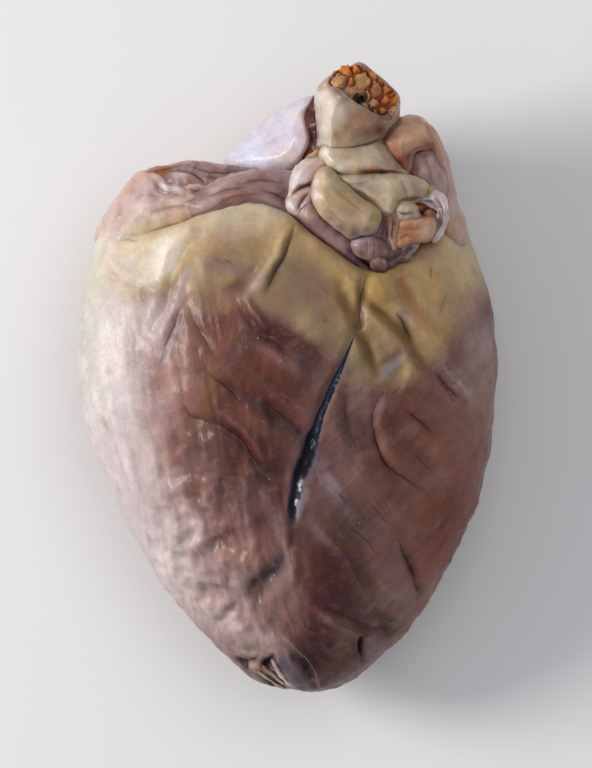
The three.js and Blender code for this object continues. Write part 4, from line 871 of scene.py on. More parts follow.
forms["brownFold"] = usualForm | {
    "outline": [[21.7, 54.6, 45], [21.9, 56.4, 43.5], [23.2, 57.2, 42], [25, 57.4, 41], [26.8, 58.1, 40],
        [28.6, 58.3, 39], [30.4, 57.6, 38.5], [31.9, 55.9, 39.5], [33, 53.9, 40.5], [33, 52.1, 41.5],
        [31.9, 51.2, 43], [30.1, 50.8, 44.5], [28.6, 50.4, 45.5], [27.9, 49, 46], [27.7, 47.2, 46],
        [27.2, 45.4, 45.5], [25.9, 46.1, 46.5], [24.1, 48.1, 47.5], [22.6, 50.1, 47.5], [21.4, 52.1, 47]],
    "centre": (26.1, 53.7), "rise": 4, "edge": 3, "depth": 14, "dome": 1.6, "shades": ["apricot", "fawn"],
    "blend": 0.7, "crease": 0.75, "wrinkle": 0.06, "lump": 0.25,
    # the apricot and ivory tints on its upper middle are a painted highlight
    "tints": [[26.6, 53, 1.3, "apricot", 0.8], [26.3, 53, 0.9, "ivory", 0.5],
        [28.1, 55.3, 2.5, "apricot", 0.9], [24.6, 55.9, 1.3, "dustyRose", 0.4],
        [22.8, 54.6, 1.3, "dustyRose", 0.6], [29.5, 57.3, 1.1, "rosewood", 0.5],
        # the sienna tint on its leg is partly painted shadow, the mahogany one below painted shade in a
        # crevice
        [24.3, 50.4, 1.6, "tan", 0.8], [25.5, 47.9, 2.5, "sienna", 0.95],
        [27.2, 49.2, 0.9, "mahogany", 0.8], [31.3, 51.9, 1.3, "brick", 0.8], [32.4, 54.2, 1.3, "tan", 0.6],
        [23.2, 51.5, 1.1, "clay", 0.6], [26.8, 54.4, 2.2, "peach", 0.6]],
    "folds": [[-0.5, 0.9, 0.35, [[27.5, 46.6], [27.8, 48.8], [28.8, 50.2], [31.3, 51.2]]],
        [0.5, 1.6, -0.05, [[24.6, 52.8], [26.8, 53.3], [29.5, 53.7]]],
        [-0.3, 0.9, 0.1, [[22.8, 55.9], [25, 56.2], [27.7, 56.4]]]],
}
forms["lilacPanel"] = usualForm | {
    "outline": [[27.7, 44.8, 44], [27.9, 47, 44], [28.6, 49.2, 43.5], [30.1, 50.1, 43], [32.2, 50.4, 42],
        [33.7, 49.2, 41.5], [34.6, 47, 41.5], [35.1, 44.3, 42], [35.3, 41.6, 43], [34.2, 40.1, 44],
        [32.4, 40.5, 45], [30.8, 42.1, 46], [29, 43.4, 46]],
    "centre": (31.3, 45.7), "rise": 2.6, "edge": 2.4, "depth": 10, "dome": 0.8,
    "shades": ["dustyRose", "rose"], "blend": 0.9, "crease": 0.6,
    "tints": [[29.9, 48.1, 0.9, "shell", 0.7], [33.5, 45.7, 1.3, "heather", 0.7],
        [28.6, 46.1, 0.9, "brick", 0.7], [31.3, 43.9, 1.3, "taupe", 0.5],
        [32.2, 48.8, 0.9, "palePink", 0.5]],
    "folds": [[-0.4, 0.7, 0.15, [[30.8, 49.2], [31.9, 46.1], [32.8, 42.5]]]],
}
forms["connectingBand"] = usualForm | {
    "outline": [[5.1, 48.8, 44], [6.7, 50.1, 45], [8.3, 51.7, 46], [10.3, 52.8, 46], [13, 53.5, 46],
        [15.6, 53.9, 46], [18.3, 53.9, 46], [16.1, 52.6, 48], [12.5, 51.7, 48], [10.3, 50.6, 48],
        [8.9, 48.8, 48], [7.1, 47.9, 47]],
    "centre": (9.2, 51), "rise": 3, "edge": 2.2, "depth": 8, "shades": ["butter", "gold"], "crease": 0.85,
    "wrinkle": 0.2,
    "tints": [[7.1, 49.2, 1.3, "darkGold", 0.6], [9.8, 51.9, 1.3, "butter", 0.6]],
    "folds": [[-0.5, 0.7, 0.4, [[6.3, 49.2], [8, 50.6], [9.8, 51.7]]]],
}
forms["upperCreamFold"] = usualForm | {
    "outline": [[7.8, 48.8, 49], [8, 50.6, 49], [9.4, 51.9, 48.5], [11.2, 52.6, 48], [13.4, 52.9, 48],
        [15.4, 53.6, 48], [17.9, 53.3, 48], [20.5, 53.3, 48], [21.7, 51.2, 48], [23.2, 49.2, 48],
        [25, 47.2, 47.5], [27.2, 45, 47], [25, 44.9, 48.5], [21.9, 45.1, 49.5], [18.8, 45.1, 50.5],
        [15.6, 45, 51], [12.5, 45.4, 51.5], [10, 46.6, 51]],
    "centre": (16.5, 49), "rise": 2.2, "edge": 1.3, "depth": 12, "dome": 1.2, "shades": ["ecru", "beige"],
    "blend": 0.6, "crease": 0.8, "wrinkle": 0.08, "lump": 0.25,
    "tints": [[18.8, 46.2, 1.3, "rust", 0.9], [17.2, 45.9, 0.9, "amber", 0.8],
        # the white and porcelain tints at its left edge are a painted highlight
        [21, 45.9, 1.1, "chestnut", 0.6], [8.9, 49.9, 0.9, "white", 0.9],
        [9.2, 47.7, 1.1, "porcelain", 0.7], [11.6, 50.8, 1.8, "cream", 0.7],
        [15.6, 49.2, 2, "butter", 0.15], [13, 47, 1.3, "palePink", 0.6], [19.7, 51, 1.6, "taupe", 0.5],
        [22.3, 47.9, 1.8, "dustyRose", 0.8], [24.6, 46.3, 1.3, "taupe", 0.7],
        [17.9, 47.9, 1.1, "palePink", 0.5], [11.2, 46.6, 1.3, "ivory", 0.6]],
    "folds": [[-0.8, 0.6, 0.5, [[16.5, 45.6], [18.3, 45.4], [21, 45.4], [23.7, 45.3], [25.9, 45]]],
        [-0.3, 0.9, 0.08, [[10.7, 51.9], [14.3, 51.9], [17.9, 52.3], [20.5, 51.9]]],
        [0.4, 1.4, -0.04, [[10.7, 48.8], [14.3, 47.9], [17.9, 47.5], [21.9, 46.6]]],
        [-0.2, 0.7, 0.02, [[9.4, 46.1], [12.1, 47.2], [14.7, 46.6]]]],
}
forms["lowerCreamFold"] = usualForm | {
    "outline": [[11.4, 44.8, 51], [14.3, 45, 51], [17.6, 45, 50.5], [21, 45, 50], [24.6, 45, 49.5],
        [27.7, 44.7, 49], [30.1, 43.9, 48], [31.5, 42.5, 48], [30.8, 40.8, 49], [29.5, 39.4, 50],
        [26.8, 39.2, 51], [25.2, 39, 51.5], [24.6, 37.6, 52], [23.7, 36.1, 52.5], [22.1, 36.3, 53],
        [20.5, 37.4, 53], [17.9, 39.4, 53], [15.4, 41.2, 53], [13, 43, 52]],
    "centre": (22.8, 42.1), "rise": 2, "edge": 1.3, "depth": 10, "dome": 1.2, "shades": ["beige", "ecru"],
    "blend": 0.6, "wrinkle": 0.1,
    # the taupe tints at 16, 42 and 20, 39 are a painted shadow
    "tints": [[15.9, 42.3, 1.6, "taupe", 0.8], [22.8, 43.7, 1.8, "cream", 0.7],
        [26.6, 43.9, 1.3, "palePink", 0.5], [28.1, 41.6, 1.8, "dustyRose", 0.6],
        [20.1, 39.4, 1.8, "taupe", 0.4], [19.2, 42.1, 1.8, "sand", 0.4], [23.7, 40.8, 1.3, "sand", 0.5],
        [23.2, 37.6, 0.9, "cream", 0.7], [13.4, 44.1, 1.1, "cream", 0.7], [25.9, 41.6, 2, "bark", 0.3]],
    "folds": [[-0.3, 0.8, 0.12, [[14.3, 43], [16.5, 43], [19.2, 43.9]]],
        [0.4, 1.4, -0.03, [[21.9, 44.3], [23.2, 41.6], [23.4, 38.5]]],
        [-0.3, 0.8, 0.1, [[25.5, 43.9], [26.6, 41.6], [26.8, 39.9]]],
        [-0.6, 0.6, 0.4, [[25, 39], [27.2, 39.3], [29.7, 40]]],
        [-0.3, 0.6, 0.15, [[15.6, 41.6], [17.9, 40.1], [20.1, 38.5]]]],
}
forms["mauveBed"] = usualForm | {
    "outline": [[18.8, 36.7, 50], [21, 38.1, 50], [23.2, 37.6, 50], [25.5, 34.9, 49], [26.8, 31.8, 48],
        [27.2, 28.7, 48], [25.5, 26.5, 48], [22.8, 25.1, 48.5], [20.1, 25.1, 49], [17.4, 26.9, 50],
        [15.6, 29.6, 50.5], [17, 31.8, 51], [18.8, 33.6, 51]],
    "centre": (21.4, 30.9), "rise": 3, "edge": 3, "depth": 9, "dome": 0.5, "shades": ["taupe", "greyMauve"],
    "blend": 0.9, "wrinkle": 0.3, "lump": 0.45,
    "tints": [[21.9, 34.1, 1.3, "taupe", 0.6], [20.1, 30.9, 1.3, "mauveBrown", 0.6],
        [22.8, 29.6, 1.1, "greyMauve", 0.5]],
    "folds": [[-0.4, 0.6, 0.25, [[21.2, 37.2], [21.7, 33.6], [21.2, 30.5]]],
        [-0.3, 0.5, 0.2, [[22.6, 34.9], [22.3, 31.4], [21.9, 28.7]]]],
}
forms["creamTail"] = usualForm | {
    "outline": [[24.1, 38.1, 52], [22.8, 37.6, 52.5], [22.6, 35.4, 53], [22.8, 33.2, 53], [23, 30.9, 52.5],
        [23.4, 28.9, 51.5], [24.1, 28.7, 51.5], [24.2, 30.9, 52.5], [24.6, 33.2, 53], [24.8, 34.9, 53],
        [25, 36.7, 52.5]],
    "centre": (23.4, 33.6), "rise": 1.6, "edge": 1.2, "depth": 4, "shades": ["butter", "fawn"],
    "crease": 0.6, "wrinkle": 0.2, "lump": 0.25,
    "tints": [[23.2, 30, 0.9, "ivory", 0.6], [24.3, 34.1, 0.7, "rosewood", 0.6]],
    "folds": [[-0.5, 0.45, 0.4, [[23.4, 36.7], [23.6, 34.1], [23.4, 31.4], [23.7, 29.6]]],
        [-0.4, 0.4, 0.3, [[24.3, 36.7], [24.1, 34.5], [23.9, 31.8]]]],
}
forms["whiteFoldUpper"] = usualForm | {
    "outline": [[-0.2, 38.5, 50], [0.2, 41, 49.5], [0.9, 43.4, 49], [2, 45.9, 48.5], [3.6, 47.7, 48],
        [5.6, 48.5, 48], [7.6, 48.5, 48.5], [9.2, 47.5, 49.5], [8, 46.3, 50], [6.7, 44.8, 51], [6, 43, 51],
        [4.5, 42.1, 51], [2.7, 41, 50.5], [1.3, 39.4, 49.5]],
    "centre": (3.8, 44.1), "rise": 2.2, "edge": 1.3, "depth": 9, "dome": 0.8,
    "shades": ["shell", "palePink"], "blend": 0.7, "crease": 0.6, "wrinkle": 0.16,
    "tints": [[6.3, 47.7, 1.3, "rose", 0.5], [1.1, 43, 1.1, "porcelain", 0.9],
        [5.4, 42.8, 0.9, "rust", 0.8], [3.6, 42.3, 0.9, "clay", 0.7], [6.7, 45.7, 0.9, "shell", 0.6],
        [2.7, 44.3, 1.3, "porcelain", 0.7], [1.1, 40.3, 1.1, "white", 0.8],
        [4.2, 46.1, 1.1, "palePink", 0.6], [4.7, 42.3, 0.9, "sienna", 0.6],
        [3.1, 42.1, 0.7, "sienna", 0.4]],
    "folds": [[-0.7, 0.5, 0.5, [[1.3, 40.8], [3.1, 42], [4.7, 42.5], [6, 43.4]]],
        [-0.3, 0.6, 0.12, [[3.3, 46.1], [4.9, 46.8], [6.9, 47.2]]],
        [0.4, 0.9, -0.1, [[2, 42.1], [2.9, 44.3], [4.2, 46.3], [6.3, 47.7]]]],
}
forms["whiteFoldLower"] = usualForm | {
    "outline": [[-0.4, 38.5, 50], [0.9, 40.1, 50.3], [2.7, 41, 50.5], [4.7, 42, 51], [5.8, 42.1, 51.5],
        [6, 40.3, 51.5], [5.4, 38.3, 51.5], [4.2, 36.7, 51], [2.5, 36.1, 50], [0.2, 37, 50]],
    "centre": (2.9, 39.2), "rise": 2, "edge": 1.1, "depth": 8, "dome": 0.6, "shades": ["shell", "palePink"],
    "blend": 0.7, "crease": 0.6, "wrinkle": 0.16,
    # its white tints are painted highlights
    "tints": [[3.6, 39.4, 0.9, "rust", 0.6], [2.7, 37.8, 0.7, "clay", 0.7], [0.9, 38.3, 0.9, "white", 0.9],
        [4.9, 40.5, 0.9, "heather", 0.7], [2.2, 37, 0.9, "white", 0.7], [4.5, 38.1, 0.9, "rose", 0.6],
        [4, 40.1, 0.7, "sienna", 0.5]],
    "folds": [[-0.5, 0.45, 0.45, [[2.7, 37.2], [3.3, 38.7], [4.2, 40.1], [5.1, 41.2]]],
        [0.4, 0.6, -0.1, [[0.9, 39.2], [1.8, 37.8], [2.7, 36.5]]]],
}
forms["pinkBand"] = usualForm | {
    "outline": [[1.3, 36.1, 48], [2.7, 37.4, 50], [4.2, 38.5, 51.5], [5.8, 38.7, 52.5], [6.9, 37, 53],
        [8.7, 34.9, 53], [10.9, 32.9, 53], [13.2, 31.2, 53], [14.5, 29.6, 52.5], [15.4, 27.6, 51.5],
        [16.7, 25.8, 50.5], [18.5, 24.2, 49.5], [16.5, 24.2, 49], [13.8, 25.6, 49.5], [11.2, 27.4, 49.5],
        [8, 29.6, 49.5], [4.9, 32, 49], [2.7, 34.1, 48.5]],
    "centre": (8.5, 32.3), "rise": 2.4, "edge": 2, "depth": 9, "dome": 1.4,
    "shades": ["taupe", "greyMauve"], "blend": 1.2, "wrinkle": 0.1, "lump": 0.35,
    "tints": [[4, 36.7, 1.6, "shell", 0.7], [5.8, 35.6, 1.1, "rose", 0.7], [8, 32.7, 1.1, "rosewood", 0.5],
        [8.9, 31.4, 1.8, "taupe", 0.6], [14.1, 28.2, 1.3, "plum", 0.75], [11.6, 29.1, 1.8, "taupe", 0.6],
        [15.6, 25.6, 1.3, "plum", 0.6], [7.6, 34.1, 1.6, "greyMauve", 0.7],
        [10.7, 30.9, 1.1, "taupe", 0.5]],
    "folds": [[-0.2, 1, 0.06, [[4.9, 36.7], [7.6, 33.8], [10.7, 31.2], [13.4, 28.9]]],
        [0.3, 1.2, -0.04, [[3.6, 36.3], [6.7, 32.9], [10, 30], [13.4, 27.4]]],
        [-0.15, 0.7, 0.04, [[3.6, 34.7], [6.7, 31.8], [10.3, 28.7]]]],
}
forms["frontLobe"] = usualForm | {
    "outline": [[5.8, 41.4, 53], [6.3, 44.1, 52], [7.4, 46.1, 51], [8.9, 46.7, 51], [10.5, 45.7, 51.5],
        [12.3, 43.4, 52.5], [14.3, 41.6, 53.5], [16.5, 39.9, 54], [18.8, 38.5, 54], [20.5, 37.2, 53.5],
        [20.8, 35.2, 53], [19.9, 32.9, 53], [18.5, 32, 53.5], [16.5, 31.8, 54], [14.1, 31.2, 54],
        [12.1, 32.7, 54.5], [10, 34.3, 55], [7.8, 36.5, 55], [6.3, 39, 54]],
    "centre": (13.4, 38.3), "rise": 3, "edge": 1.9, "depth": 11, "dome": 1.8, "shades": ["beige", "cream"],
    "crease": 0.85, "wrinkle": 0.08, "lump": 0.25,
    "tints": [[14.3, 38.1, 3.6, "tan", 0.55], [13.2, 39, 2.7, "honey", 0.5], [13.4, 38.3, 2.7, "bark", 0.5],
        [14.7, 41.4, 1.1, "honey", 0.6], [17.9, 39.2, 1.1, "honey", 0.6], [19.9, 36.7, 1.1, "honey", 0.6],
        # the porcelain tints at its left edge are a painted highlight
        [6.5, 43.4, 0.9, "porcelain", 0.9], [6.7, 40.5, 1, "porcelain", 0.85], [8.5, 45, 1.1, "cream", 0.8],
        [8.7, 42.1, 1.3, "honey", 0.5], [11.2, 43.4, 0.9, "gold", 0.5], [9.8, 39.4, 2, "gold", 0.6],
        [19.2, 35.4, 1.6, "gold", 0.7], [14.3, 37.4, 2, "taupe", 0.5], [12.1, 39.9, 1.6, "sand", 0.6],
        [15.6, 34.5, 1.8, "sand", 0.6], [14.7, 32.3, 1.6, "rosewood", 0.7],
        # the greyMauve and mauveBrown tints low on its left are painted shade
        [9.8, 35.2, 1.1, "greyMauve", 0.7], [12.3, 33.2, 1.3, "mauveBrown", 0.7],
        [17.9, 32.7, 1.1, "bark", 0.6], [13.4, 38.3, 3.1, "gold", 0.3]],
    "folds": [[-0.3, 1.4, 0.08, [[10.7, 42.1], [14.3, 39], [17.9, 35.6]]],
        [0.3, 1.4, 0, [[9.8, 44.8], [14.3, 40.5], [19.2, 37]]],
        [-0.3, 1.2, 0.1, [[8.5, 38.1], [11.2, 35.4], [14.3, 33.4]]]],
}
forms["largeNodule"] = usualForm | {
    "outline": [[14.3, 29.6, 52], [15.2, 30.9, 52], [17, 31.7, 52], [19.2, 31.5, 52], [21, 30.7, 52],
        [22.1, 29.1, 52], [22.1, 27.4, 52], [20.5, 26.7, 53], [18.5, 26.5, 53], [16.3, 27.1, 53],
        [15, 28.2, 53]],
    "centre": (18.1, 29.1), "rise": 2.4, "edge": 1.9, "depth": 6, "dome": 0.7,
    "shades": ["dustyRose", "greyMauve"], "crease": 0.85, "wrinkle": 0.16, "lump": 0.25,
    # pearl and lilac tints high on it are a painted highlight, plum and mauveBrown low on it painted shade
    "tints": [[15.9, 30.5, 1, "pearl", 0.85], [18.3, 31.2, 1.1, "lilac", 0.8], [17, 27.6, 1.1, "plum", 0.7],
        [20.1, 27.6, 1.1, "mauveBrown", 0.6], [19.2, 29.1, 1.8, "rosewood", 0.5]],
    "folds": [[-0.08, 0.35, 0.12, [[16.5, 30.3], [16.7, 28.7], [16.5, 27.4]]],
        [-0.08, 0.35, 0.12, [[17.9, 30.5], [18.1, 28.7], [17.9, 26.9]]],
        [-0.08, 0.35, 0.12, [[19.4, 30.3], [19.7, 28.7], [19.4, 26.9]]],
        [-0.08, 0.3, 0.1, [[20.8, 29.6], [21, 28.2], [20.8, 27.1]]]],
}
forms["smallNodule"] = usualForm | {
    "outline": [[19, 25.3, 52.5], [19.2, 26.5, 52.5], [20.3, 27.1, 52.5], [21.4, 26.7, 52.5],
        [22.1, 25.6, 52.5], [21.9, 24.2, 52], [20.5, 23.8, 52], [19.4, 24.2, 52]],
    "centre": (20.5, 25.6), "rise": 2.4, "edge": 1.6, "depth": 5, "shades": ["greyMauve", "rosewood"],
    "blend": 0.3, "crease": 0.95, "wrinkle": 0.08, "lump": 0.12,
    # the small heather and palePink tints are painted highlights
    "tints": [[20.3, 25.8, 1.3, "rosewood", 0.5], [20.5, 26.3, 0.4, "heather", 0.8],
        [21.8, 25.6, 0.4, "palePink", 0.7], [19.9, 24.7, 0.9, "plum", 0.7],
        [20.8, 24.7, 0.7, "mauveBrown", 0.6]],
}
forms["tornTissue"] = usualForm | {
    "outline": [[21.9, 27.1, 50.5], [22.8, 28.2, 50.5], [23.9, 28, 51], [25, 28.9, 50.5],
        [25.9, 29.4, 50.5], [27.5, 29.8, 50], [28.6, 29.6, 49.5], [28.1, 28.5, 49.5], [27, 27.8, 49.5],
        [26.6, 26.7, 49.5], [25.2, 26.5, 49.5], [24.3, 25.6, 49.5], [23.2, 24.5, 49.5], [22.3, 24.5, 50],
        [22.1, 25.8, 50.5]],
    "centre": (25, 27.4), "rise": 1.5, "edge": 1.5, "depth": 6, "dome": 0.2,
    "shades": ["heather", "greyMauve"], "blend": 0.7, "wrinkle": 0.4, "lump": 0.4,
    "tints": [[27.2, 28.9, 0.9, "slate", 0.85], [25, 27.6, 0.9, "heather", 0.6],
        [23.2, 25.6, 0.9, "taupe", 0.6], [24.1, 27.6, 0.6, "palePink", 0.6],
        [25.9, 28.5, 0.7, "lilac", 0.5]],
    "folds": [[-0.4, 0.45, 0.4, [[22.6, 25.6], [24.1, 26.7], [25.9, 28], [27.5, 29.1]]],
        [-0.3, 0.4, 0.3, [[22.6, 26.7], [23.9, 27.4], [25.2, 28.2]]],
        [-0.4, 0.4, 0.4, [[25.5, 26.9], [26.6, 27.8], [27.9, 28.9]]]],
}
forms["orangePiece"] = usualForm | {
    "outline": [[24.3, 33.6, 51.5], [25.7, 35.2, 52], [27.9, 35.5, 51.5], [30.1, 35.4, 51],
        [32.2, 35.2, 50], [32.8, 33.8, 49], [32.4, 32, 49], [31.3, 30.9, 49.5], [29.5, 30.7, 50],
        [27.7, 30.3, 50.5], [26.1, 29.1, 50], [24.6, 28.7, 50], [24, 30.9, 51]],
    "centre": (28.1, 32.9), "rise": 2, "edge": 1.1, "depth": 8, "dome": 0.6, "shades": ["apricot", "fawn"],
    "blend": 0.6, "crease": 0.8, "wrinkle": 0.2, "lump": 0.35,
    "tints": [[26.1, 30.7, 1.1, "amber", 0.6], [30.4, 32.9, 1.3, "shell", 0.5],
        [27.2, 34.7, 1.1, "clay", 0.6], [28.1, 32.5, 2, "sienna", 0.35], [31.9, 32.5, 0.9, "cream", 0.5],
        [25.2, 32.9, 0.9, "clay", 0.6], [28.4, 31.8, 1.1, "clay", 0.5], [29.5, 34.5, 0.9, "fawn", 0.6],
        [27.7, 32.7, 1.8, "ginger", 0.35]],
    "folds": [[-0.3, 0.7, 0.15, [[25.5, 33.4], [27.7, 32.9], [30.4, 33.2]]],
        [-0.3, 0.5, 0.2, [[25, 30.5], [26.6, 31.6], [28.1, 31.2]]],
        [0.3, 0.7, -0.05, [[25.9, 34.5], [28.6, 34.7], [31.7, 34.3]]]],
}
forms["creamKnob"] = usualForm | {
    "outline": [[23.9, 37.2, 51.5], [24.6, 38.3, 51.5], [25.9, 38.7, 51], [27.7, 38.3, 50.5],
        [28.8, 37.2, 50], [29.7, 35.6, 50], [28.6, 34.7, 50.5], [26.8, 34.7, 51], [25, 34.9, 51.5],
        [24.1, 35.8, 51.5]],
    "centre": (26.6, 36.7), "rise": 3.6, "edge": 2.6, "depth": 7, "dome": 0.4, "shades": ["cream", "beige"],
    "crease": 0.9, "wrinkle": 0.25, "lump": 0.35,
    "tints": [[25.5, 37.8, 0.9, "cream", 0.6], [28.1, 35.8, 0.9, "tan", 0.6]],
    "folds": [[-0.5, 0.5, 0.4, [[25, 36.7], [26.3, 36.3], [28.1, 36.7]]]],
}
forms["redHollow"] = usualForm | {
    "outline": [[28.1, 37.8, 49.5], [29.9, 38.5, 48.5], [31.9, 38.5, 47.5], [33.5, 37.6, 46.5],
        [33.7, 35.4, 47], [32.2, 34.5, 48], [30.1, 34.9, 49], [28.6, 36.1, 50]],
    "centre": (30.8, 36.7), "rise": 1.5, "edge": 2, "depth": 6, "dome": 0, "shades": ["liver", "mahogany"],
    "blend": 0.3, "crease": 0.8, "wrinkle": 0.5, "lump": 0.6,
    "tints": [[29.5, 37.4, 0.9, "clay", 0.7], [31.7, 37.8, 0.9, "liver", 0.8]],
    "folds": [[-0.7, 0.5, 0.7, [[29.3, 35.8], [30.6, 36.7], [31.5, 37.8]]]],
}
forms["orangeKnob"] = usualForm | {
    "outline": [[30.4, 36.1, 48.5], [30.8, 37, 48.5], [31.9, 37.4, 48], [33, 36.7, 47.5],
        [33.3, 35.4, 47.5], [32.4, 34.5, 48], [31, 34.7, 48.5]],
    "centre": (31.7, 36.1), "rise": 2.6, "edge": 1.8, "depth": 5, "shades": ["tan", "darkGold"],
    "blend": 0.3, "crease": 0.9, "lump": 0.2,
    "tints": [[31.5, 36.7, 0.6, "apricot", 0.7]],
}
forms["yellowTag"] = usualForm | {
    "outline": [[29.9, 41.2, 48], [30.1, 42.3, 48], [31.3, 42.8, 47], [32.6, 42.3, 46], [33.3, 41.2, 46],
        [32.4, 40.1, 47], [30.8, 40.1, 48]],
    "centre": (31.5, 41.4), "rise": 3, "edge": 2, "depth": 6, "shades": ["straw", "gold"], "blend": 0.4,
    "crease": 0.8, "wrinkle": 0.2,
}
forms["lilacStrip"] = usualForm | {
    "outline": [[29.3, 39.4, 49.5], [30.1, 40.1, 49.5], [31.5, 39.7, 49.5], [32.6, 41, 48.5],
        [33.7, 40.5, 48.5], [34.8, 39.6, 48], [35.3, 38.1, 48], [35.1, 36.7, 48], [35.7, 35.4, 47.5],
        [34.8, 34.1, 47.5], [34.4, 32.5, 48], [33, 30.9, 48.5], [32.6, 31.2, 48.5], [33.3, 32.9, 49],
        [33.9, 34.7, 49], [33.5, 36.3, 49], [33.9, 37.4, 49], [32.6, 38.5, 49.5], [31, 38.7, 50]],
    "centre": (33.7, 36.7), "rise": 1.8, "edge": 1.6, "depth": 6, "dome": 0.4,
    "shades": ["porcelain", "palePink"], "wrinkle": 0.3, "lump": 0.4,
    # the small pearl tints at 34, 40 and 31, 39 are painted highlights on its ridges
    "tints": [[34.4, 36.5, 1.8, "white", 0.35], [33.7, 39.9, 0.9, "pearl", 0.9],
        [30.8, 39.4, 0.9, "pearl", 0.7], [35.1, 35.4, 0.7, "porcelain", 0.6],
        [35.3, 36.3, 0.9, "heather", 0.6], [33.9, 34.5, 0.9, "chalk", 0.6],
        [34.4, 36.5, 1.8, "pearl", 0.4]],
    "folds": [[-0.5, 0.45, 0.35, [[33, 40.3], [34.4, 38.1], [34.6, 35.4], [33.7, 32.7]]],
        [-0.4, 0.4, 0.3, [[30.1, 39.2], [31.9, 39.2], [33.3, 38.1]]],
        [0.4, 0.5, -0.2, [[34.2, 40.3], [35.1, 38.1], [35.1, 35.4]]],
        [-0.4, 0.4, 0.35, [[33.7, 37.6], [34.2, 35.8], [33.5, 33.6]]]],
}
forms["lowerStrand"] = usualForm | {
    "path": [[-6.3, -65.3, 28], [-5.1, -66.2, 27.4], [-3.6, -67.3, 26.4], [-2, -68.4, 24.6],
        [-0.7, -69.1, 22.7]],
    "wide": [0.2, 0.2, 0.2, 0.2, 0.1], "thick": [0.6, 0.8, 0.8, 0.7, 0.4], "shades": ["ecru", "umber"],
    "blend": 0.3, "crease": 0.9, "wrinkle": 0.15, "lump": 0.15,
}
forms["middleStrand"] = usualForm | {
    "path": [[-5.1, -64.2, 30.3], [-4, -65.1, 29.7], [-2.7, -66.2, 28.8], [-1.3, -67.5, 27.2],
        [0, -68.4, 25.7]],
    "wide": [0.1, 0.2, 0.2, 0.2, 0.1], "thick": [0.5, 0.6, 0.6, 0.6, 0.4], "shades": ["cream", "maroon"],
    "blend": 0.3, "crease": 0.9, "wrinkle": 0.15, "lump": 0.15,
}
forms["upperStrand"] = usualForm | {
    "path": [[-2.9, -62.9, 32.5], [-2.2, -64.4, 31.1], [-1.1, -66.2, 29.2], [0.2, -67.8, 27],
        [2.2, -69.2, 23.7]],
    "wide": [0.2, 0.2, 0.3, 0.3, 0.2], "thick": [0.6, 0.8, 0.8, 0.7, 0.5],
    "shades": ["porcelain", "greyMauve"], "wrinkle": 0.15, "lump": 0.2,
}

formShape = {
    "spacing": 0.42,  # between grid points, in mm
    "endBluntness": 0.5,
    "sectionBluntness": 0.86,
    "spineSamples": 60,
    "taper": 0.2,  # how far the walls of an outlined form draw in towards its foot
    "overlap": 0.35,  # how far each outline reaches over its neighbours
    "wallShade": "shell",
    "wallWrinkle": 2,  # times the wrinkles on top
    "wallShare": 0.55,
    "tintWander": 0.6,  # how far the colours stray from their places
    # painted light and shade on the wrinkles, random mottling, and painted shade where forms meet
    "wrinkleShading": 0.3,
    "mottling": 0.1,
    "haloShare": 0.35,  # soft dark band where forms meet
    "haloWidth": 1.6,
    "lineShare": 0.85,  # dark line in the middle of it
    "lineWidth": 0.3,
}


def blunted(values, power):
    # |value| ** power with the value's own sign
    return np.sign(values) * np.abs(values) ** power


def spineOf(form, t):
    # place, three axes and half sizes of the section at t along the form's path
    place = along(form["path"], t)
    tangent = along(form["path"], t + 1e-4) - along(form["path"], t - 1e-4)
    tangent /= np.linalg.norm(tangent, axis=-1, keepdims=True)
    across = np.cross(tangent, (0, 0, 1))
    across /= np.linalg.norm(across, axis=-1, keepdims=True)
    up = np.cross(across, tangent)
    return place, tangent, across, up, along(form["wide"], t), along(form["thick"], t)


def rollSurface(form):
    # the section's point is wide * cos ** sectionBluntness across and thick * sin ** sectionBluntness
    # up, both times sin(pi share) ** endBluntness, at (1 - cos(pi share)) / 2 of the path
    reach = np.linalg.norm(np.diff(form["path"], axis=0), axis=1).sum() + max(form["wide"])
    girth = 2 * np.pi * np.hypot(max(form["wide"]), max(form["thick"])) / np.sqrt(2)
    rows = int(np.clip(reach / formShape["spacing"], 24, 170))
    columns = int(np.clip(girth / formShape["spacing"], 24, 200))
    even = np.linspace(0, 1, rows)
    share = mix(even, (1 - np.cos(np.pi * even)) / 2, 0.55)
    t = (1 - np.cos(np.pi * share)) / 2
    fullness = np.maximum(np.sin(np.pi * share), 0) ** formShape["endBluntness"]
    angle = 2 * np.pi * np.arange(columns) / columns
    place, _, across, up, wide, thick = spineOf(form, np.clip(t, 1e-3, 1 - 1e-3))
    sideways = (wide * fullness)[:, None] * blunted(np.cos(angle), formShape["sectionBluntness"])
    upwards = (thick * fullness)[:, None] * blunted(np.sin(angle), formShape["sectionBluntness"])
    points = place[:, None] + across[:, None] * sideways[..., None] + up[:, None] * upwards[..., None]
    points[0], points[-1] = place[0], place[-1]
    return points


def closedCurve(corners, count):
    # Catmull-Rom round closed corners, at count places that are even in length
    corners = np.asarray(corners, float)
    ring = np.concatenate([corners[-2:], corners, corners[:3]])
    fine = along(ring, np.linspace(0, 1, (len(ring) - 1) * 12 + 1))[24 : 24 + 12 * len(corners) + 1]
    length = np.concatenate([[0], np.cumsum(np.linalg.norm(np.diff(fine, axis=0), axis=1))])
    places = np.linspace(0, length[-1], count + 1)[:-1]
    return np.stack([np.interp(places, length, fine[:, k]) for k in range(fine.shape[1])], axis=1)


def outlineOf(form):
    # the form's outline pushed outwards from its centre by the overlap
    corners = np.asarray(form["outline"], float)
    outward = corners[:, :2] - np.array(form["centre"])
    outward /= np.linalg.norm(outward, axis=1, keepdims=True)
    return np.concatenate([corners[:, :2] + formShape["overlap"] * outward, corners[:, 2:]], axis=1)


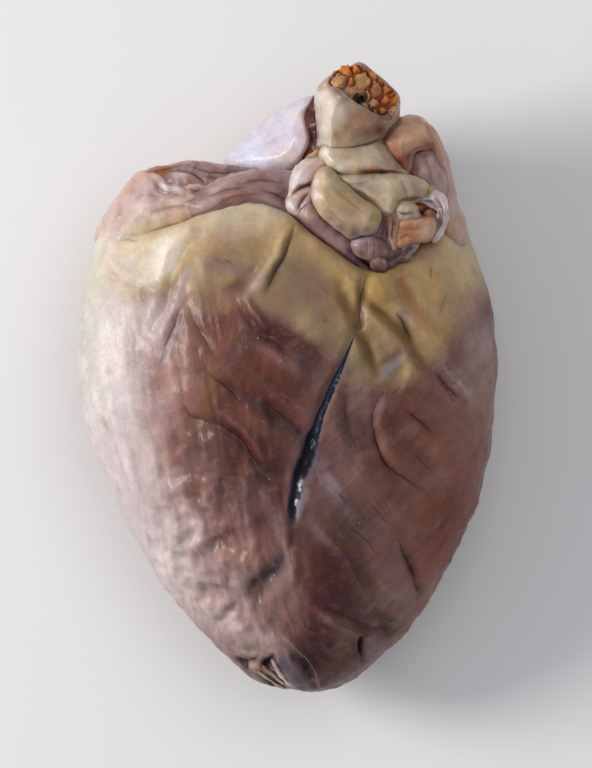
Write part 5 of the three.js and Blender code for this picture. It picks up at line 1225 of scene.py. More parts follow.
def rimLevel(form, x, y):
    # height of the outline, spread inwards by weights of 1 / (distance^2 + 1)
    corners = np.asarray(form["outline"], float)
    total, weights = np.zeros(x.shape), np.zeros(x.shape)
    for cx, cy, cz in corners:
        weight = 1 / ((x - cx) ** 2 + (y - cy) ** 2 + 1)
        total += weight * cz
        weights += weight
    return total / weights


def inwardDistance(form, x, y):
    # distance to the outline, positive inside it
    curve = closedCurve(outlineOf(form)[:, :2], 72)
    distance, _, _ = nearestOnPath(np.concatenate([curve, curve[:1]]), x, y)
    inside = np.zeros(x.shape, bool)
    for (ax, ay), (bx, by) in zip(curve, np.roll(curve, -1, axis=0)):
        if ay != by:
            inside ^= ((ay > y) != (by > y)) & (x < (bx - ax) * (y - ay) / (by - ay) + ax)
    return np.where(inside, distance, -distance)


def slabTop(form, x, y):
    # rim level, plus rise * sqrt(1 - (1 - d / edge)^2) near the rim, plus a low dome further in
    d = inwardDistance(form, x, y)
    near = np.clip(d / form["edge"], 0, 1)
    top = rimLevel(form, x, y) + form["rise"] * np.sqrt(1 - (1 - near) ** 2)
    return top + form["dome"] * smoothStep(0, 1.7 * form["edge"], d), d


def slabSurface(form):
    # shares of the outline round the centre: under the foot, up the wall, then over the top
    corners = outlineOf(form)
    turns = np.roll(corners, -1, axis=0)
    if (corners[:, 0] * turns[:, 1] - corners[:, 1] * turns[:, 0]).sum() > 0:
        corners = corners[::-1]
    length = np.linalg.norm(corners - turns, axis=1).sum()
    spacing = form.get("spacing", formShape["spacing"])  # the crumbs have their own
    columns = int(np.clip(length / spacing, 30, 400))
    rim = closedCurve(corners, columns)
    centre = np.array(form["centre"])
    size = np.linalg.norm(rim[:, :2] - centre, axis=1).max()
    inner = int(np.clip(size / spacing, 10, 90))
    walls = int(np.clip(form["depth"] / spacing / 1.3, 6, 30))
    foot, wall = np.linspace(0, 1, 5)[:-1], np.linspace(0, 1, walls)
    over = 1 - (1 - np.linspace(1, 0, inner + 1)[1:]) ** 1.25
    reach = 1 - formShape["taper"] * (1 - wall) ** 2
    share = np.concatenate([foot * reach[0], reach, over])[:, None]
    drop = np.concatenate([np.ones(len(foot)), 1 - wall, np.zeros(inner)])[:, None] * form["depth"]
    flat = centre + (rim[None, :, :2] - centre) * share[..., None]
    top, _ = slabTop(form, flat[..., 0], flat[..., 1])
    isTop = (np.arange(len(share)) >= len(foot) + len(wall))[:, None]
    z = np.where(isTop, top, rim[None, :, 2] - drop)
    return np.concatenate([flat, z[..., None]], axis=2)


def distanceToForm(form, points):
    # outside an outlined form: past its outline or over its top; outside a rolled one: r (1 - 1 / f),
    # r from the nearest place on the spine and f the same in units of the oval's half sizes
    flat = points.reshape(-1, 3)
    distance = np.full(len(flat), 9.0)
    if "outline" in form:
        corners = np.asarray(form["outline"], float)
        low, high = corners.min(axis=0) - 4, corners.max(axis=0) + 4
        low[2] -= form["depth"]
        high[2] += form["rise"] + form["dome"]
        near = ((flat > low) & (flat < high)).all(axis=1)
        if near.any():
            some = flat[near]
            top, inward = slabTop(form, some[:, 0], some[:, 1])
            outward = np.maximum(-inward, 0)
            above = some[:, 2] - top
            below = top - form["rise"] - form["depth"] - some[:, 2]
            upright = np.maximum(np.maximum(above, below), 0)
            inside = np.maximum(np.maximum(above, below), -inward)
            distance[near] = np.where((outward > 0) | (upright > 0), np.hypot(outward, upright), inside)
    else:
        t = np.linspace(0.004, 0.996, formShape["spineSamples"])
        place, tangent, across, up, wide, thick = spineOf(form, t)
        fullness = np.sin(np.arccos(1 - 2 * t)) ** formShape["endBluntness"]
        wide, thick = wide * fullness, thick * fullness
        low = (place - np.maximum(wide, thick)[:, None]).min(axis=0) - 4
        high = (place + np.maximum(wide, thick)[:, None]).max(axis=0) + 4
        near = ((flat > low) & (flat < high)).all(axis=1)
        if near.any():
            some = flat[near]
            gap = np.linalg.norm(some[:, None] - place[None], axis=2)
            i = gap.argmin(axis=1)
            offset = some - place[i]
            a = (offset * tangent[i]).sum(axis=1) / 2.5
            b = (offset * across[i]).sum(axis=1) / wide[i]
            c = (offset * up[i]).sum(axis=1) / thick[i]
            size = np.sqrt(a * a + b * b + c * c)
            distance[near] = np.linalg.norm(offset, axis=1) * (1 - 1 / np.maximum(size, 1e-3))
    return distance.reshape(points.shape[:-1])


def distanceToVentricles(points):
    # outside the oval section, or above the rim, whichever is further
    y = points[..., 1]
    middle, height, halfWidth, halfDepth = sectionAt(np.minimum(y, 38))
    size = np.hypot((points[..., 0] - middle) / halfWidth, (points[..., 2] - height) / halfDepth)
    return np.maximum((size - 1) * halfDepth, y - rimHeight(points[..., 0]))


def makeForm(name, form, material):
    # the surface moved along its normals by a swell where it nears its neighbours, lumps, ridged
    # wrinkles and folds, and painted with two mottled shades and tints, painted light and shade on the
    # wrinkles, and painted shade in its folds and where it meets its neighbours
    points = slabSurface(form) if "outline" in form else rollSurface(form)
    normals = gridNormals(points)
    nearest = np.minimum(distanceToVentricles(points), distanceToStump(points))
    for other in forms.values():
        if other is not form:
            nearest = np.minimum(nearest, distanceToForm(other, points))
    closeness = np.clip(1 - np.maximum(nearest, 0) / form["blend"], 0, 1)
    swell = form["blend"] / 4 * closeness**2
    lumps = layeredNoise(points, 5.5, 71) * form["lump"]
    ridges = 1 - 2 * np.abs(layeredNoise(points + 2 * layeredNoise(points, 6, 79)[..., None], 3.2, 83))
    wrinkles = ridges * form["wrinkle"]
    folds = [[depth, width, dark, min(1, 2 * dark), path] for depth, width, dark, path in form["folds"]]
    relief, shade = foldRelief(points[..., 0], points[..., 1], folds)
    facing = smoothStep(0.1, 0.5, normals[..., 2])
    wrinkles *= mix(formShape["wallWrinkle"], 1, facing)
    points = points + normals * (swell + lumps + wrinkles + relief * facing)[..., None]
    points[0], points[-1] = points[0].mean(axis=0), points[-1].mean(axis=0)
    points[..., 2] = np.maximum(points[..., 2], 0.3)
    mottle = smoothStep(-0.5, 0.6, layeredNoise(points, 4.5, 97))[..., None]
    tone = mix(linearTone(form["shades"][0]), linearTone(form["shades"][1]), mottle)
    shiftedX = points[..., 0] + formShape["tintWander"] * layeredNoise(points, 2.2, 101)
    shiftedY = points[..., 1] + formShape["tintWander"] * layeredNoise(points, 2.2, 103)
    for x, y, radius, colour, strength in form["tints"]:
        share = np.exp(-(((shiftedX - x) ** 2 + (shiftedY - y) ** 2) / radius**2)) * strength
        tone = mix(tone, linearTone(colour), (share * mix(0.3, 1, facing))[..., None])
    walls = (1 - facing) * smoothStep(-0.3, 0.5, layeredNoise(points, (9, 9, 5), 109))
    tone = mix(tone, linearTone(formShape["wallShade"]), formShape["wallShare"] * walls[..., None])
    # painted light and shade on the wrinkles, lighter on their ridges, with random mottling on top
    light = 1 + formShape["wrinkleShading"] * wrinkles
    light = light + formShape["mottling"] * layeredNoise(points, 1.6, 107)
    tone = tone * light[..., None]
    # painted shade in the beds of the folds, a painted highlight where a fold's shade is negative
    bed = np.clip(shade * facing, -0.5, 0.9)[..., None]
    tone = mix(tone, tone * linearTone("foldBedShadow"), bed)
    # painted shade where the form meets its neighbours: a soft band and a dark line in it
    away = np.maximum(nearest, 0)
    halo = formShape["haloShare"] * form["crease"] * np.exp(-((away / formShape["haloWidth"]) ** 2))
    tone = mix(tone, tone * linearTone("jointShadowHalo"), halo[..., None])
    line = form["crease"] * np.exp(-((away / formShape["lineWidth"]) ** 2))
    tone = mix(tone, linearTone("jointShadowLine"), formShape["lineShare"] * line[..., None])
    drawn = [[line, path] for _, _, _, line, path in folds]
    seam, strength = creaseLines(points[..., 0], points[..., 1], drawn)
    zero = np.zeros(points.shape[:2])
    layers = {
        "tone": np.clip(tone, 0.002, 1), "fat": zero + 0.5, "film": zero, "slant": zero + 0.5,
        "seam": seam, "creaseLineStrength": np.clip(strength, -0.6, 1) * facing,
    }
    return makeGridPiece(name, points, layers, material)


# The cut great vessel as rings of thirteen places from its foot over the cut rim and down its bore
stump = {
    "foot": [[6.5, 51, 40], [6.7, 55.9, 33], [10.7, 58.6, 28], [14.7, 59.3, 27], [18.8, 58.8, 28],
             [22.3, 57.3, 32], [24.1, 53.7, 38], [22.8, 50.6, 43], [19.4, 49.2, 46], [14.7, 48.6, 47.5],
             [10.7, 49, 48], [9.8, 49.2, 47.5], [7.8, 49.7, 44]],
    "low": [[6.6, 54.6, 42], [6.5, 59.5, 36], [10.7, 62.2, 31], [14.7, 62.9, 30], [19.2, 62.2, 31],
            [23.2, 59.7, 35], [24.8, 56.8, 41], [22.6, 53.9, 47], [19.2, 52.4, 51], [14.7, 52.1, 53],
            [10.6, 52.8, 54], [9.8, 53, 53.4], [7.8, 53.5, 49]],
    "high": [[6.9, 60, 46], [6.7, 63.8, 41], [10.7, 66.2, 37], [14.7, 67.5, 36], [19.2, 66.2, 37],
             [23.7, 62.9, 40], [25.2, 60, 45], [23.2, 56.8, 50.5], [19.7, 55.5, 54], [15, 55.9, 56.5],
             [10.7, 57.7, 57.5], [9.9, 58.1, 56.9], [8, 59.1, 52.5]],
    "rim": [[6.9, 62.9, 49], [7.4, 65.3, 46], [10.3, 67.5, 44], [13.6, 68.9, 43], [16.7, 69.9, 43],
            [20.8, 67.1, 43.5], [25.2, 62.6, 46], [25, 59.3, 50], [21.9, 57.3, 53], [17, 59.3, 56],
            [12.5, 61.3, 57.5], [11.5, 62, 57.1], [9.2, 63.8, 54.5]],
    "crest": [[7.8, 64, 50], [8.3, 65.8, 48], [10.5, 67.4, 46], [13.6, 68.7, 45], [17, 69.4, 45],
              [20.8, 66.7, 45.5], [24.6, 62.6, 47.5], [24.3, 59.5, 51], [21.7, 57.7, 53.6],
              [17.2, 59.6, 56.4], [13, 61.9, 57.6], [12.1, 62.6, 57.3], [10, 64.2, 55]],
    "lip": [[10, 64.9, 50], [10, 66.4, 48.5], [11.6, 67.5, 46.5], [14.1, 68.2, 45.5], [17, 67.8, 45],
            [20.1, 65.8, 45.5], [23.4, 63.3, 47], [23.4, 60.4, 50], [21.2, 58.4, 52.6], [17, 60.1, 55],
            [13.8, 62.3, 56], [13.2, 62.9, 55.7], [11.6, 64.4, 53.5]],
    "bore": [[12.1, 64.4, 43], [12.5, 65.3, 42], [13.6, 66, 41], [15.4, 66.4, 40.5], [17.4, 66.2, 40.5],
             [19.9, 64.4, 41], [21.4, 62.4, 42], [21, 60.8, 43.5], [19.2, 60.4, 45], [16.7, 61.3, 46],
             [14.3, 62.6, 46.5], [13.5, 63.2, 45.75], [12.7, 63.8, 45]],
    "order": ["foot", "low", "high", "rim", "crest", "lip", "bore"],
    "rowsBetween": 16,
    "columns": 150,
    "lump": 0.35,
    "shade": "beige",
    # the left face is paler, partly its own colour and partly painted light, as it faces the lamp
    "leftShade": "ivory",
    "leftShare": 0.6,
    "cornerX": 10.6,  # where the left face meets the front
    "wallShade": "dustyRose",
    "wallShare": 0.85,
    "insideShade": "wine",
    # painted shade where the vessel meets its neighbours
    "creviceShadow": "clot",
    "creviceShare": 0.85,
    "creviceWidth": 0.5,
    "mottling": 0.12,
    # x, y, radius, shade and strength
    "tints": [
        # the porcelain and white tints on the left face are partly painted light
        [9.2, 59.1, 1.79, "porcelain", 0.6], [8.9, 55.3, 1.56, "white", 0.6],
        [7.8, 62.2, 1.34, "porcelain", 0.8], [9.8, 60.8, 0.89, "porcelain", 0.7],
        [8.5, 64.9, 0.89, "cream", 0.6], [11.4, 63.5, 1.34, "rosewood", 0.9],
        [10, 65.3, 1.12, "dustyRose", 0.9], [13.2, 61.5, 0.89, "taupe", 0.6],
        [12.3, 59.5, 1.12, "cream", 0.7], [6.5, 53.7, 1.34, "taupe", 0.9],
        [7.1, 56.4, 0.89, "taupe", 0.6], [15.2, 57.7, 2.23, "tan", 0.75],
        [16.1, 56.4, 2.46, "fawn", 0.8], [11.6, 58.4, 1.56, "ivory", 0.5],
        [12.1, 55.7, 1.34, "cream", 0.5], [12.3, 56.8, 1.12, "cream", 0.6],
        [13.4, 55.3, 1.34, "olive", 0.8], [11.2, 53.9, 0.89, "tan", 0.8], [18.3, 57.3, 1.79, "tan", 0.6],
        # the mahogany and brick tints at the lower right are a painted shadow
        [20.5, 55, 1.56, "mahogany", 0.95], [17.9, 54.2, 1.56, "brick", 0.8],
        [21.9, 58.2, 0.89, "rosewood", 0.7], [21, 57.3, 1.12, "rosewood", 0.6],
        [16.1, 54.6, 1.12, "clay", 0.5], [20.1, 66.9, 1.79, "rosewood", 0.9],
        [23, 64.4, 1.56, "rosewood", 0.8], [17.9, 68.7, 1.12, "dustyRose", 0.8],
        [25, 60.4, 1.12, "shell", 0.7],
    ],
}


# Bed of fat crumbs in the mouth; each crumb is x, y, size and shade, the larger ones taking more room
crumbs = {
    "centre": (17.6, 63.8),
    "outline": [
        [10.5, 65.8, 51], [10.7, 67.3, 48.5], [12.1, 68.3, 46.5], [14.3, 68.9, 45.5], [16.1, 69.2, 45],
        [17.4, 68.2, 45], [19.2, 67, 45.2], [21.4, 65.3, 45.8], [23.4, 64, 46.6], [24.2, 62, 48.2],
        [24, 59.5, 50.6], [22.8, 57.9, 52], [21, 58.2, 53], [19, 59.5, 54.2], [16.7, 60.2, 55],
        [14.7, 61.3, 55.6], [13, 63, 55.4], [11.4, 64.3, 53.4],
    ],
    "rise": 0.6,
    "edge": 1.6,
    "depth": 3,
    "dome": 0.4,
    "spacing": 0.15,
    "crumbs": [
        [11.9, 65.9, 1.67, "amber"], [13.2, 68, 1.34, "ginger"], [10.8, 67.1, 0.67, "shell"],
        [15.5, 68.4, 1.12, "ginger"], [14.2, 65.5, 0.89, "ginger"], [16.9, 65.7, 2.01, "amber"],
        [14.3, 63.1, 1.34, "tan"], [20, 63.8, 1.56, "rust"], [22.2, 64, 1.23, "ginger"],
        [17.9, 62.2, 0.98, "sand"], [19.4, 60.6, 1.03, "fawn"], [21.9, 61.3, 1.12, "ginger"],
        [21.4, 59.5, 0.89, "ginger"], [23.7, 61.5, 0.85, "ginger"], [23.4, 59.3, 0.89, "honey"],
        [22.3, 58.2, 0.58, "brick"], [17.4, 60.1, 0.76, "sand"], [15.2, 60.6, 0.71, "butter"],
        [18.8, 66.7, 0.8, "ginger"], [16.7, 68.9, 0.67, "rust"], [20.8, 62.2, 0.58, "rust"],
        [22.8, 65.3, 0.54, "ginger"], [21.2, 65, 0.54, "rust"], [23, 62.7, 0.58, "ginger"],
        [20.5, 60.1, 0.49, "sand"], [22.6, 60.3, 0.54, "rust"], [20, 59.2, 0.49, "clay"],
        [18.5, 63.8, 0.49, "ginger"],
    ],
    "plateau": 0.7,
    "crack": 0.7,
    "crackWidth": 0.2,
    "mottling": 0.35,
    "wander": 0.5,
    "lump": 0.5,
    # the gap and hole colours below are painted shade in the cracks and in the hole
    "gapShadow": "liver",
    "hole": [16.3, 61.7, 1.56, 1],  # x, y, half width and half height
    "holeDepth": 2.2,
    "holeShadow": "ink",
}


def loftSurface(rings, columns, rowsBetween):
    # closed curves through each ring's places, joined by a Catmull-Rom from ring to ring, with both
    # ends drawn together to their middles
    curves = []
    for ring in rings:
        corners = np.asarray(ring, float)
        loop = np.concatenate([corners[-2:], corners, corners[:3]])
        start, stop = 2 / (len(loop) - 1), (2 + len(corners)) / (len(loop) - 1)
        t = start + (stop - start) * np.arange(columns) / columns
        curves.append(along(loop, t))
    first, last = curves[0].mean(axis=0), curves[-1].mean(axis=0)
    ends = [first + 0 * curves[0], *curves, last + 0 * curves[-1]]
    t = np.linspace(0, 1, (len(ends) - 1) * rowsBetween + 1)
    stacked = np.stack(ends).reshape(len(ends), -1)
    points = along(stacked, t).reshape(len(t), columns, 3)
    points[0], points[-1] = first, last
    return points, t


def distanceToStump(points):
    # outside the rings between the foot and the rim, measured from the axis through their middles
    rings = [np.asarray(stump[name], float) for name in ("foot", "low", "high", "rim")]
    start, end = rings[0].mean(axis=0), rings[-1].mean(axis=0)
    axis = (end - start) / np.linalg.norm(end - start)
    lengthwise = (points - start) @ axis
    radius = np.linalg.norm(points - start - lengthwise[..., None] * axis, axis=-1)
    girths = [np.linalg.norm(np.cross(ring - ring.mean(axis=0), axis), axis=1).mean() for ring in rings]
    places = [(ring.mean(axis=0) - start) @ axis for ring in rings]
    wall = np.interp(lengthwise, places, girths)
    return np.maximum(radius - wall, np.maximum(lengthwise - places[-1], -2 - lengthwise))


def makeStump(material):
    # the lofted wall moved along its normals by lumps, and painted by its place along the loft, paler on
    # its left face, partly painted light from the lamp on that side, with painted shade in its crevices
    rings = [stump[name] for name in stump["order"]]
    points, t = loftSurface(rings, stump["columns"], stump["rowsBetween"])
    normals = gridNormals(points)
    # place is 1 at the foot, 2 low, 3 high, 4 rim, 5 crest and 6 lip
    place = (t * (len(rings) + 1))[:, None] + 0 * points[..., 0]
    inside = smoothStep(5.6, 6.4, place)
    rise = layeredNoise(points, 6, 131) * stump["lump"] + layeredNoise(points, 1.8, 137) * 0.12
    nearest = distanceToVentricles(points)
    for form in forms.values():
        nearest = np.minimum(nearest, distanceToForm(form, points))
    points = points + normals * rise[..., None]
    points[0], points[-1] = points[0].mean(axis=0), points[-1].mean(axis=0)
    x, y = points[..., 0], points[..., 1]
    tone = np.broadcast_to(linearTone(stump["shade"]), points.shape).copy()
    outside = smoothStep(4.3, 3.7, place)
    # left face paler, partly painted light from the lamp on that side
    leftFace = smoothStep(0.9, -0.5, x - stump["cornerX"] - 0.3 * layeredNoise(points, 2, 141)) * outside
    tone = mix(tone, linearTone(stump["leftShade"]), stump["leftShare"] * leftFace[..., None])
    cutWall = stump["wallShare"] * np.exp(-(((place - 5) / 0.85) ** 2))
    tone = mix(tone, linearTone(stump["wallShade"]), cutWall[..., None])
    for px, py, radius, shade, strength in stump["tints"]:
        share = np.exp(-(((x - px) ** 2 + (y - py) ** 2) / radius**2)) * strength
        tone = mix(tone, linearTone(shade), share[..., None])
    tone = mix(tone, linearTone(stump["insideShade"]), inside[..., None])
    tone = tone * (1 + stump["mottling"] * layeredNoise(points, 3, 139))[..., None]
    # painted shade in the crevices where the vessel meets the other pieces
    crevice = stump["creviceShare"] * np.exp(-((np.maximum(nearest, 0) / stump["creviceWidth"]) ** 2))
    crevice = crevice * (1 - inside) * (nearest > -4)
    tone = mix(tone, linearTone(stump["creviceShadow"]), crevice[..., None])
    zero = np.zeros(points.shape[:2])
    layers = {"tone": np.clip(tone, 0.002, 1), "fat": zero + 0.6, "film": zero, "slant": zero + 0.5}
    return makeGridPiece("cutVessel", points, layers, material)


def crumbCells(x, y):
    # the crumb with the least (distance^2 - size^2), and the distance to the border with the next one:
    # the difference of their two values over twice the distance between their middles
    places = np.array([row[:2] for row in crumbs["crumbs"]])
    values = [(x - px) ** 2 + (y - py) ** 2 - size**2 for px, py, size, _ in crumbs["crumbs"]]
    order = np.argsort(values, axis=0)
    own, other = order[0], order[1]
    values = np.sort(values, axis=0)
    apart = np.linalg.norm(places[own] - places[other], axis=-1)
    return own, (values[1] - values[0]) / (2 * apart)


def makeCrumbs(material):
    # an outlined form whose top rises by plateau * smoothStep in each crumb, sinks by
    # crack * exp(-(border / width)^2) between them, and drops into one oval hole; painted shade
    # darkens the cracks and the hole
    points = slabSurface(crumbs)
    normals = gridNormals(points)
    x = points[..., 0] + crumbs["wander"] * layeredNoise(points, 1.6, 151)
    y = points[..., 1] + crumbs["wander"] * layeredNoise(points, 1.6, 153)
    own, border = crumbCells(x, y)
    crack = np.exp(-((border / crumbs["crackWidth"]) ** 2))
    holeX, holeY, wide, long = crumbs["hole"]
    hole = smoothStep(1.2, 0.7, np.hypot((x - holeX) / wide, (y - holeY) / long))
    rise = crumbs["plateau"] * smoothStep(0, 0.9, border) - crumbs["crack"] * crack
    rise += crumbs["lump"] * layeredNoise(points, 1.1, 157)
    facing = smoothStep(0.1, 0.5, normals[..., 2])
    points = points + normals * (rise * facing)[..., None]
    points[..., 2] -= crumbs["holeDepth"] * hole * facing
    points[0], points[-1] = points[0].mean(axis=0), points[-1].mean(axis=0)
    shades = np.stack([linearTone(row[3]) for row in crumbs["crumbs"]])
    tone = shades[own] * (1 + crumbs["mottling"] * layeredNoise(points, 1.2, 163))[..., None]
    # painted shade in the cracks between the crumbs
    gap = np.exp(-((border / (1.6 * crumbs["crackWidth"])) ** 2))
    gap = np.maximum(gap * smoothStep(-0.5, 0.3, layeredNoise(points, 2.2, 167)), 0.5 * gap)
    tone = mix(tone, linearTone(crumbs["gapShadow"]), np.clip(gap, 0, 0.9)[..., None])
    # painted shade in the hole
    tone = mix(tone, linearTone(crumbs["holeShadow"]), hole[..., None])
    zero = np.zeros(points.shape[:2])
    layers = {"tone": np.clip(tone, 0.002, 1), "fat": zero + 0.6, "film": zero, "slant": zero + 0.5}
    return makeGridPiece("fatCrumbs", points, layers, material)


def fibreNodes(tree, coordinates, turn, stretch, detail):
    # noise of the coordinates turned by turn degrees about Z and then multiplied by stretch
    mapping = tree.nodes.new("ShaderNodeMapping")
    mapping.inputs["Rotation"].default_value = (0, 0, np.radians(turn))
    tree.links.new(coordinates, mapping.inputs["Vector"])
    scaling = tree.nodes.new("ShaderNodeVectorMath")
    scaling.operation = "MULTIPLY"
    scaling.inputs[1].default_value = stretch
    tree.links.new(mapping.outputs["Vector"], scaling.inputs[0])
    noise = tree.nodes.new("ShaderNodeTexNoise")
    noise.inputs["Scale"].default_value = 1
    noise.inputs["Detail"].default_value = detail
    noise.inputs["Roughness"].default_value = 0.6
    noise.inputs["Distortion"].default_value = 0.4
    tree.links.new(scaling.outputs["Vector"], noise.inputs["Vector"])
    return noise.outputs["Fac"]


def mathNode(tree, operation, first, second, clamp=False):
    # one operation on two sockets or numbers
    node = tree.nodes.new("ShaderNodeMath")
    node.operation = operation
    node.use_clamp = clamp
    for socket, value in zip(node.inputs, (first, second)):
        if isinstance(value, (int, float)):
            socket.default_value = value
        else:
            tree.links.new(value, socket)
    return node.outputs[0]


def times(tree, first, second, clamp=False):
    # first * second
    return mathNode(tree, "MULTIPLY", first, second, clamp)


def mixNode(tree, kind, factor, first, second, blend="MIX"):
    # first + factor * (second - first), for numbers or for colours
    node = tree.nodes.new("ShaderNodeMix")
    node.data_type = kind
    if kind == "RGBA":
        node.blend_type = blend
    low, high = {"FLOAT": (2, 3), "RGBA": (6, 7)}[kind]
    for index, value in ((0, factor), (low, first), (high, second)):
        if isinstance(value, (int, float, tuple)):
            node.inputs[index].default_value = value
        else:
            tree.links.new(value, node.inputs[index])
    return node.outputs[0 if kind == "FLOAT" else 2]


def paintOver(tree, tone, share, shade):
    # the tone mixed by share with a screen colour
    flat = tuple(float(v) for v in linearTone(shade)) + (1.0,)
    return mixNode(tree, "RGBA", share, tone, flat)


def attributeNode(tree, name, output="Fac"):
    # the mesh's layer of this name at the shaded point, as a number or as a colour
    node = tree.nodes.new("ShaderNodeAttribute")
    node.attribute_name = name
    return node.outputs[output]


def noiseNode(tree, coordinates, scale, detail, roughness):
    # noise 0..1 of the coordinates times scale, in octaves half as large and roughness as strong
    node = tree.nodes.new("ShaderNodeTexNoise")
    node.inputs["Scale"].default_value = scale
    node.inputs["Detail"].default_value = detail
    node.inputs["Roughness"].default_value = roughness
    tree.links.new(coordinates, node.inputs["Vector"])
    return node.outputs["Fac"]


def bumpNode(tree, height, row, below=None):
    # row is the bump's strength and its height in metres; below is the bump under it
    node = tree.nodes.new("ShaderNodeBump")
    node.inputs["Strength"].default_value = row[0]
    node.inputs["Distance"].default_value = row[1]
    tree.links.new(height, node.inputs["Height"])
    if below is not None:
        tree.links.new(below, node.inputs["Normal"])
    return node.outputs["Normal"]


def spread(tree, value, low, high, least=0.0, most=1.0):
    # straight line from low..high to least..most, cut off at both ends
    node = tree.nodes.new("ShaderNodeMapRange")
    node.inputs["From Min"].default_value = low
    node.inputs["From Max"].default_value = high
    node.inputs["To Min"].default_value = least
    node.inputs["To Max"].default_value = most
    tree.links.new(value, node.inputs["Value"])
    return node.outputs["Result"]


def bellNode(tree, value, width):
    # exp(-(value / width) ** 2)
    scaled = mathNode(tree, "DIVIDE", value, width)
    square = times(tree, times(tree, scaled, scaled), -1.0)
    return mathNode(tree, "EXPONENT", square, 0.0)


def shiftedNode(tree, value, noise, reach):
    # value + reach * (noise - 0.5)
    return mathNode(tree, "ADD", value, times(tree, mathNode(tree, "SUBTRACT", noise, 0.5), reach))


def scaleTone(tree, tone, factor):
    # tone * factor
    node = tree.nodes.new("ShaderNodeVectorMath")
    node.operation = "SCALE"
    tree.links.new(tone, node.inputs[0])
    tree.links.new(factor, node.inputs["Scale"])
    return node.outputs[0]


def swingNode(tree, value, swing):
    # 1 - swing to 1 + swing
    return spread(tree, value, 0.2, 0.8, 1 - swing, 1 + swing)


def speckNodes(tree, coordinates, scale, size, share):
    # balls of the given size at the middles of a share of the cells, and a number 0..1 for each cell
    cells = tree.nodes.new("ShaderNodeTexVoronoi")
    cells.inputs["Scale"].default_value = scale
    tree.links.new(coordinates, cells.inputs["Vector"])
    parts = tree.nodes.new("ShaderNodeSeparateColor")
    tree.links.new(cells.outputs["Color"], parts.inputs["Color"])
    chosen = mathNode(tree, "LESS_THAN", parts.outputs["Red"], share)
    near = spread(tree, cells.outputs["Distance"], size, 0.6 * size)
    return times(tree, chosen, near), parts.outputs["Green"]


tissueFinish = {
    "specular": 0.24,
    "roughness": 0.4,
    "roughnessSwing": 0.16,
    "coatRoughness": 0.14,
    "subsurface": 0.12,
    "subsurfaceDepth": 0.0025,
    "subsurfaceRadius": (1.0, 0.45, 0.3),
    # fibres: turn in degrees and scales, upright ones first, then slanting ones
    "fineFibres": [(-10, (620, 60, 160)), (46, (640, 62, 160))],
    "bundles": [(-10, (210, 42, 90)), (46, (220, 44, 90))],
    "scratchLines": [(-12, (520, 45, 160)), (44, (520, 45, 160))],
    # other noises: scale, detail and roughness
    "blotches": (150, 6, 0.62),
    "patches": (380, 5, 0.6),
    "mottle": (260, 5, 0.65),
    "grain": (1500, 3, 0.6),
    "warmTint": (1.16, 0.98, 0.8, 1),
    "coolTint": (0.88, 0.97, 1.14, 1),
    "hueSwing": 0.4,
    "ochreShade": (138, 88, 48),
    "ochreShare": 0.42,
    "filmShade": (186, 176, 186),
    "filmShare": 0.42,
    "filmGloss": 0.1,
    # creases get painted shade and threads painted highlights; the crease dark also colours the scratches
    "creaseShadowAndScratches": (52, 26, 24),
    "creaseShare": 0.85,
    "creaseHalo": 0.3,
    "creaseWidth": 0.15,  # mm
    "threadHighlight": (214, 200, 196),
    "threadHighlightShare": 0.75,
    "bundleSwing": 0.26,
    "fibreSwing": 0.12,
    "mottleSwing": 0.17,
    "grainSwing": 0.1,
    "scratches": 0.12,
    "scratchWidth": 0.012,  # of the noise's range
    "specks": 0.05,  # share of the cells
    "speckScale": 800,
    "speckSize": 0.15,  # of a cell
    "paleSpeck": (0.8, 0.72, 0.6, 1),
    "rustSpeck": (0.5, 0.17, 0.04, 1),
    # bumps: strength and height in metres
    "fibreBump": (0.4, 0.0005),
    "grainBump": (0.25, 0.0002),
    "patchBump": (0.3, 0.0007),
    "creaseBump": (0.8, 0.0004),
}
veinFinish = {
    "core": (8, 10, 18),
    "edge": (32, 40, 66),
    "middle": (62, 72, 98),
    "bank": (128, 112, 116),
    "bankShare": 0.35,
    # sheen and glint are painted highlights on the wet vein
    "sheen": (170, 168, 182),
    "sheenShare": 0.5,
    "glint": (214, 220, 232),
    "wander": 1.5,  # how far its edges stray, in half widths
}


def fibrePair(tree, coordinates, slant, rows, detail):
    # noise along the upright fibres, and along the slanting ones where slant is 1
    upright, slanting = (fibreNodes(tree, coordinates, turn, scales, detail) for turn, scales in rows)
    return mixNode(tree, "FLOAT", slant, upright, slanting)


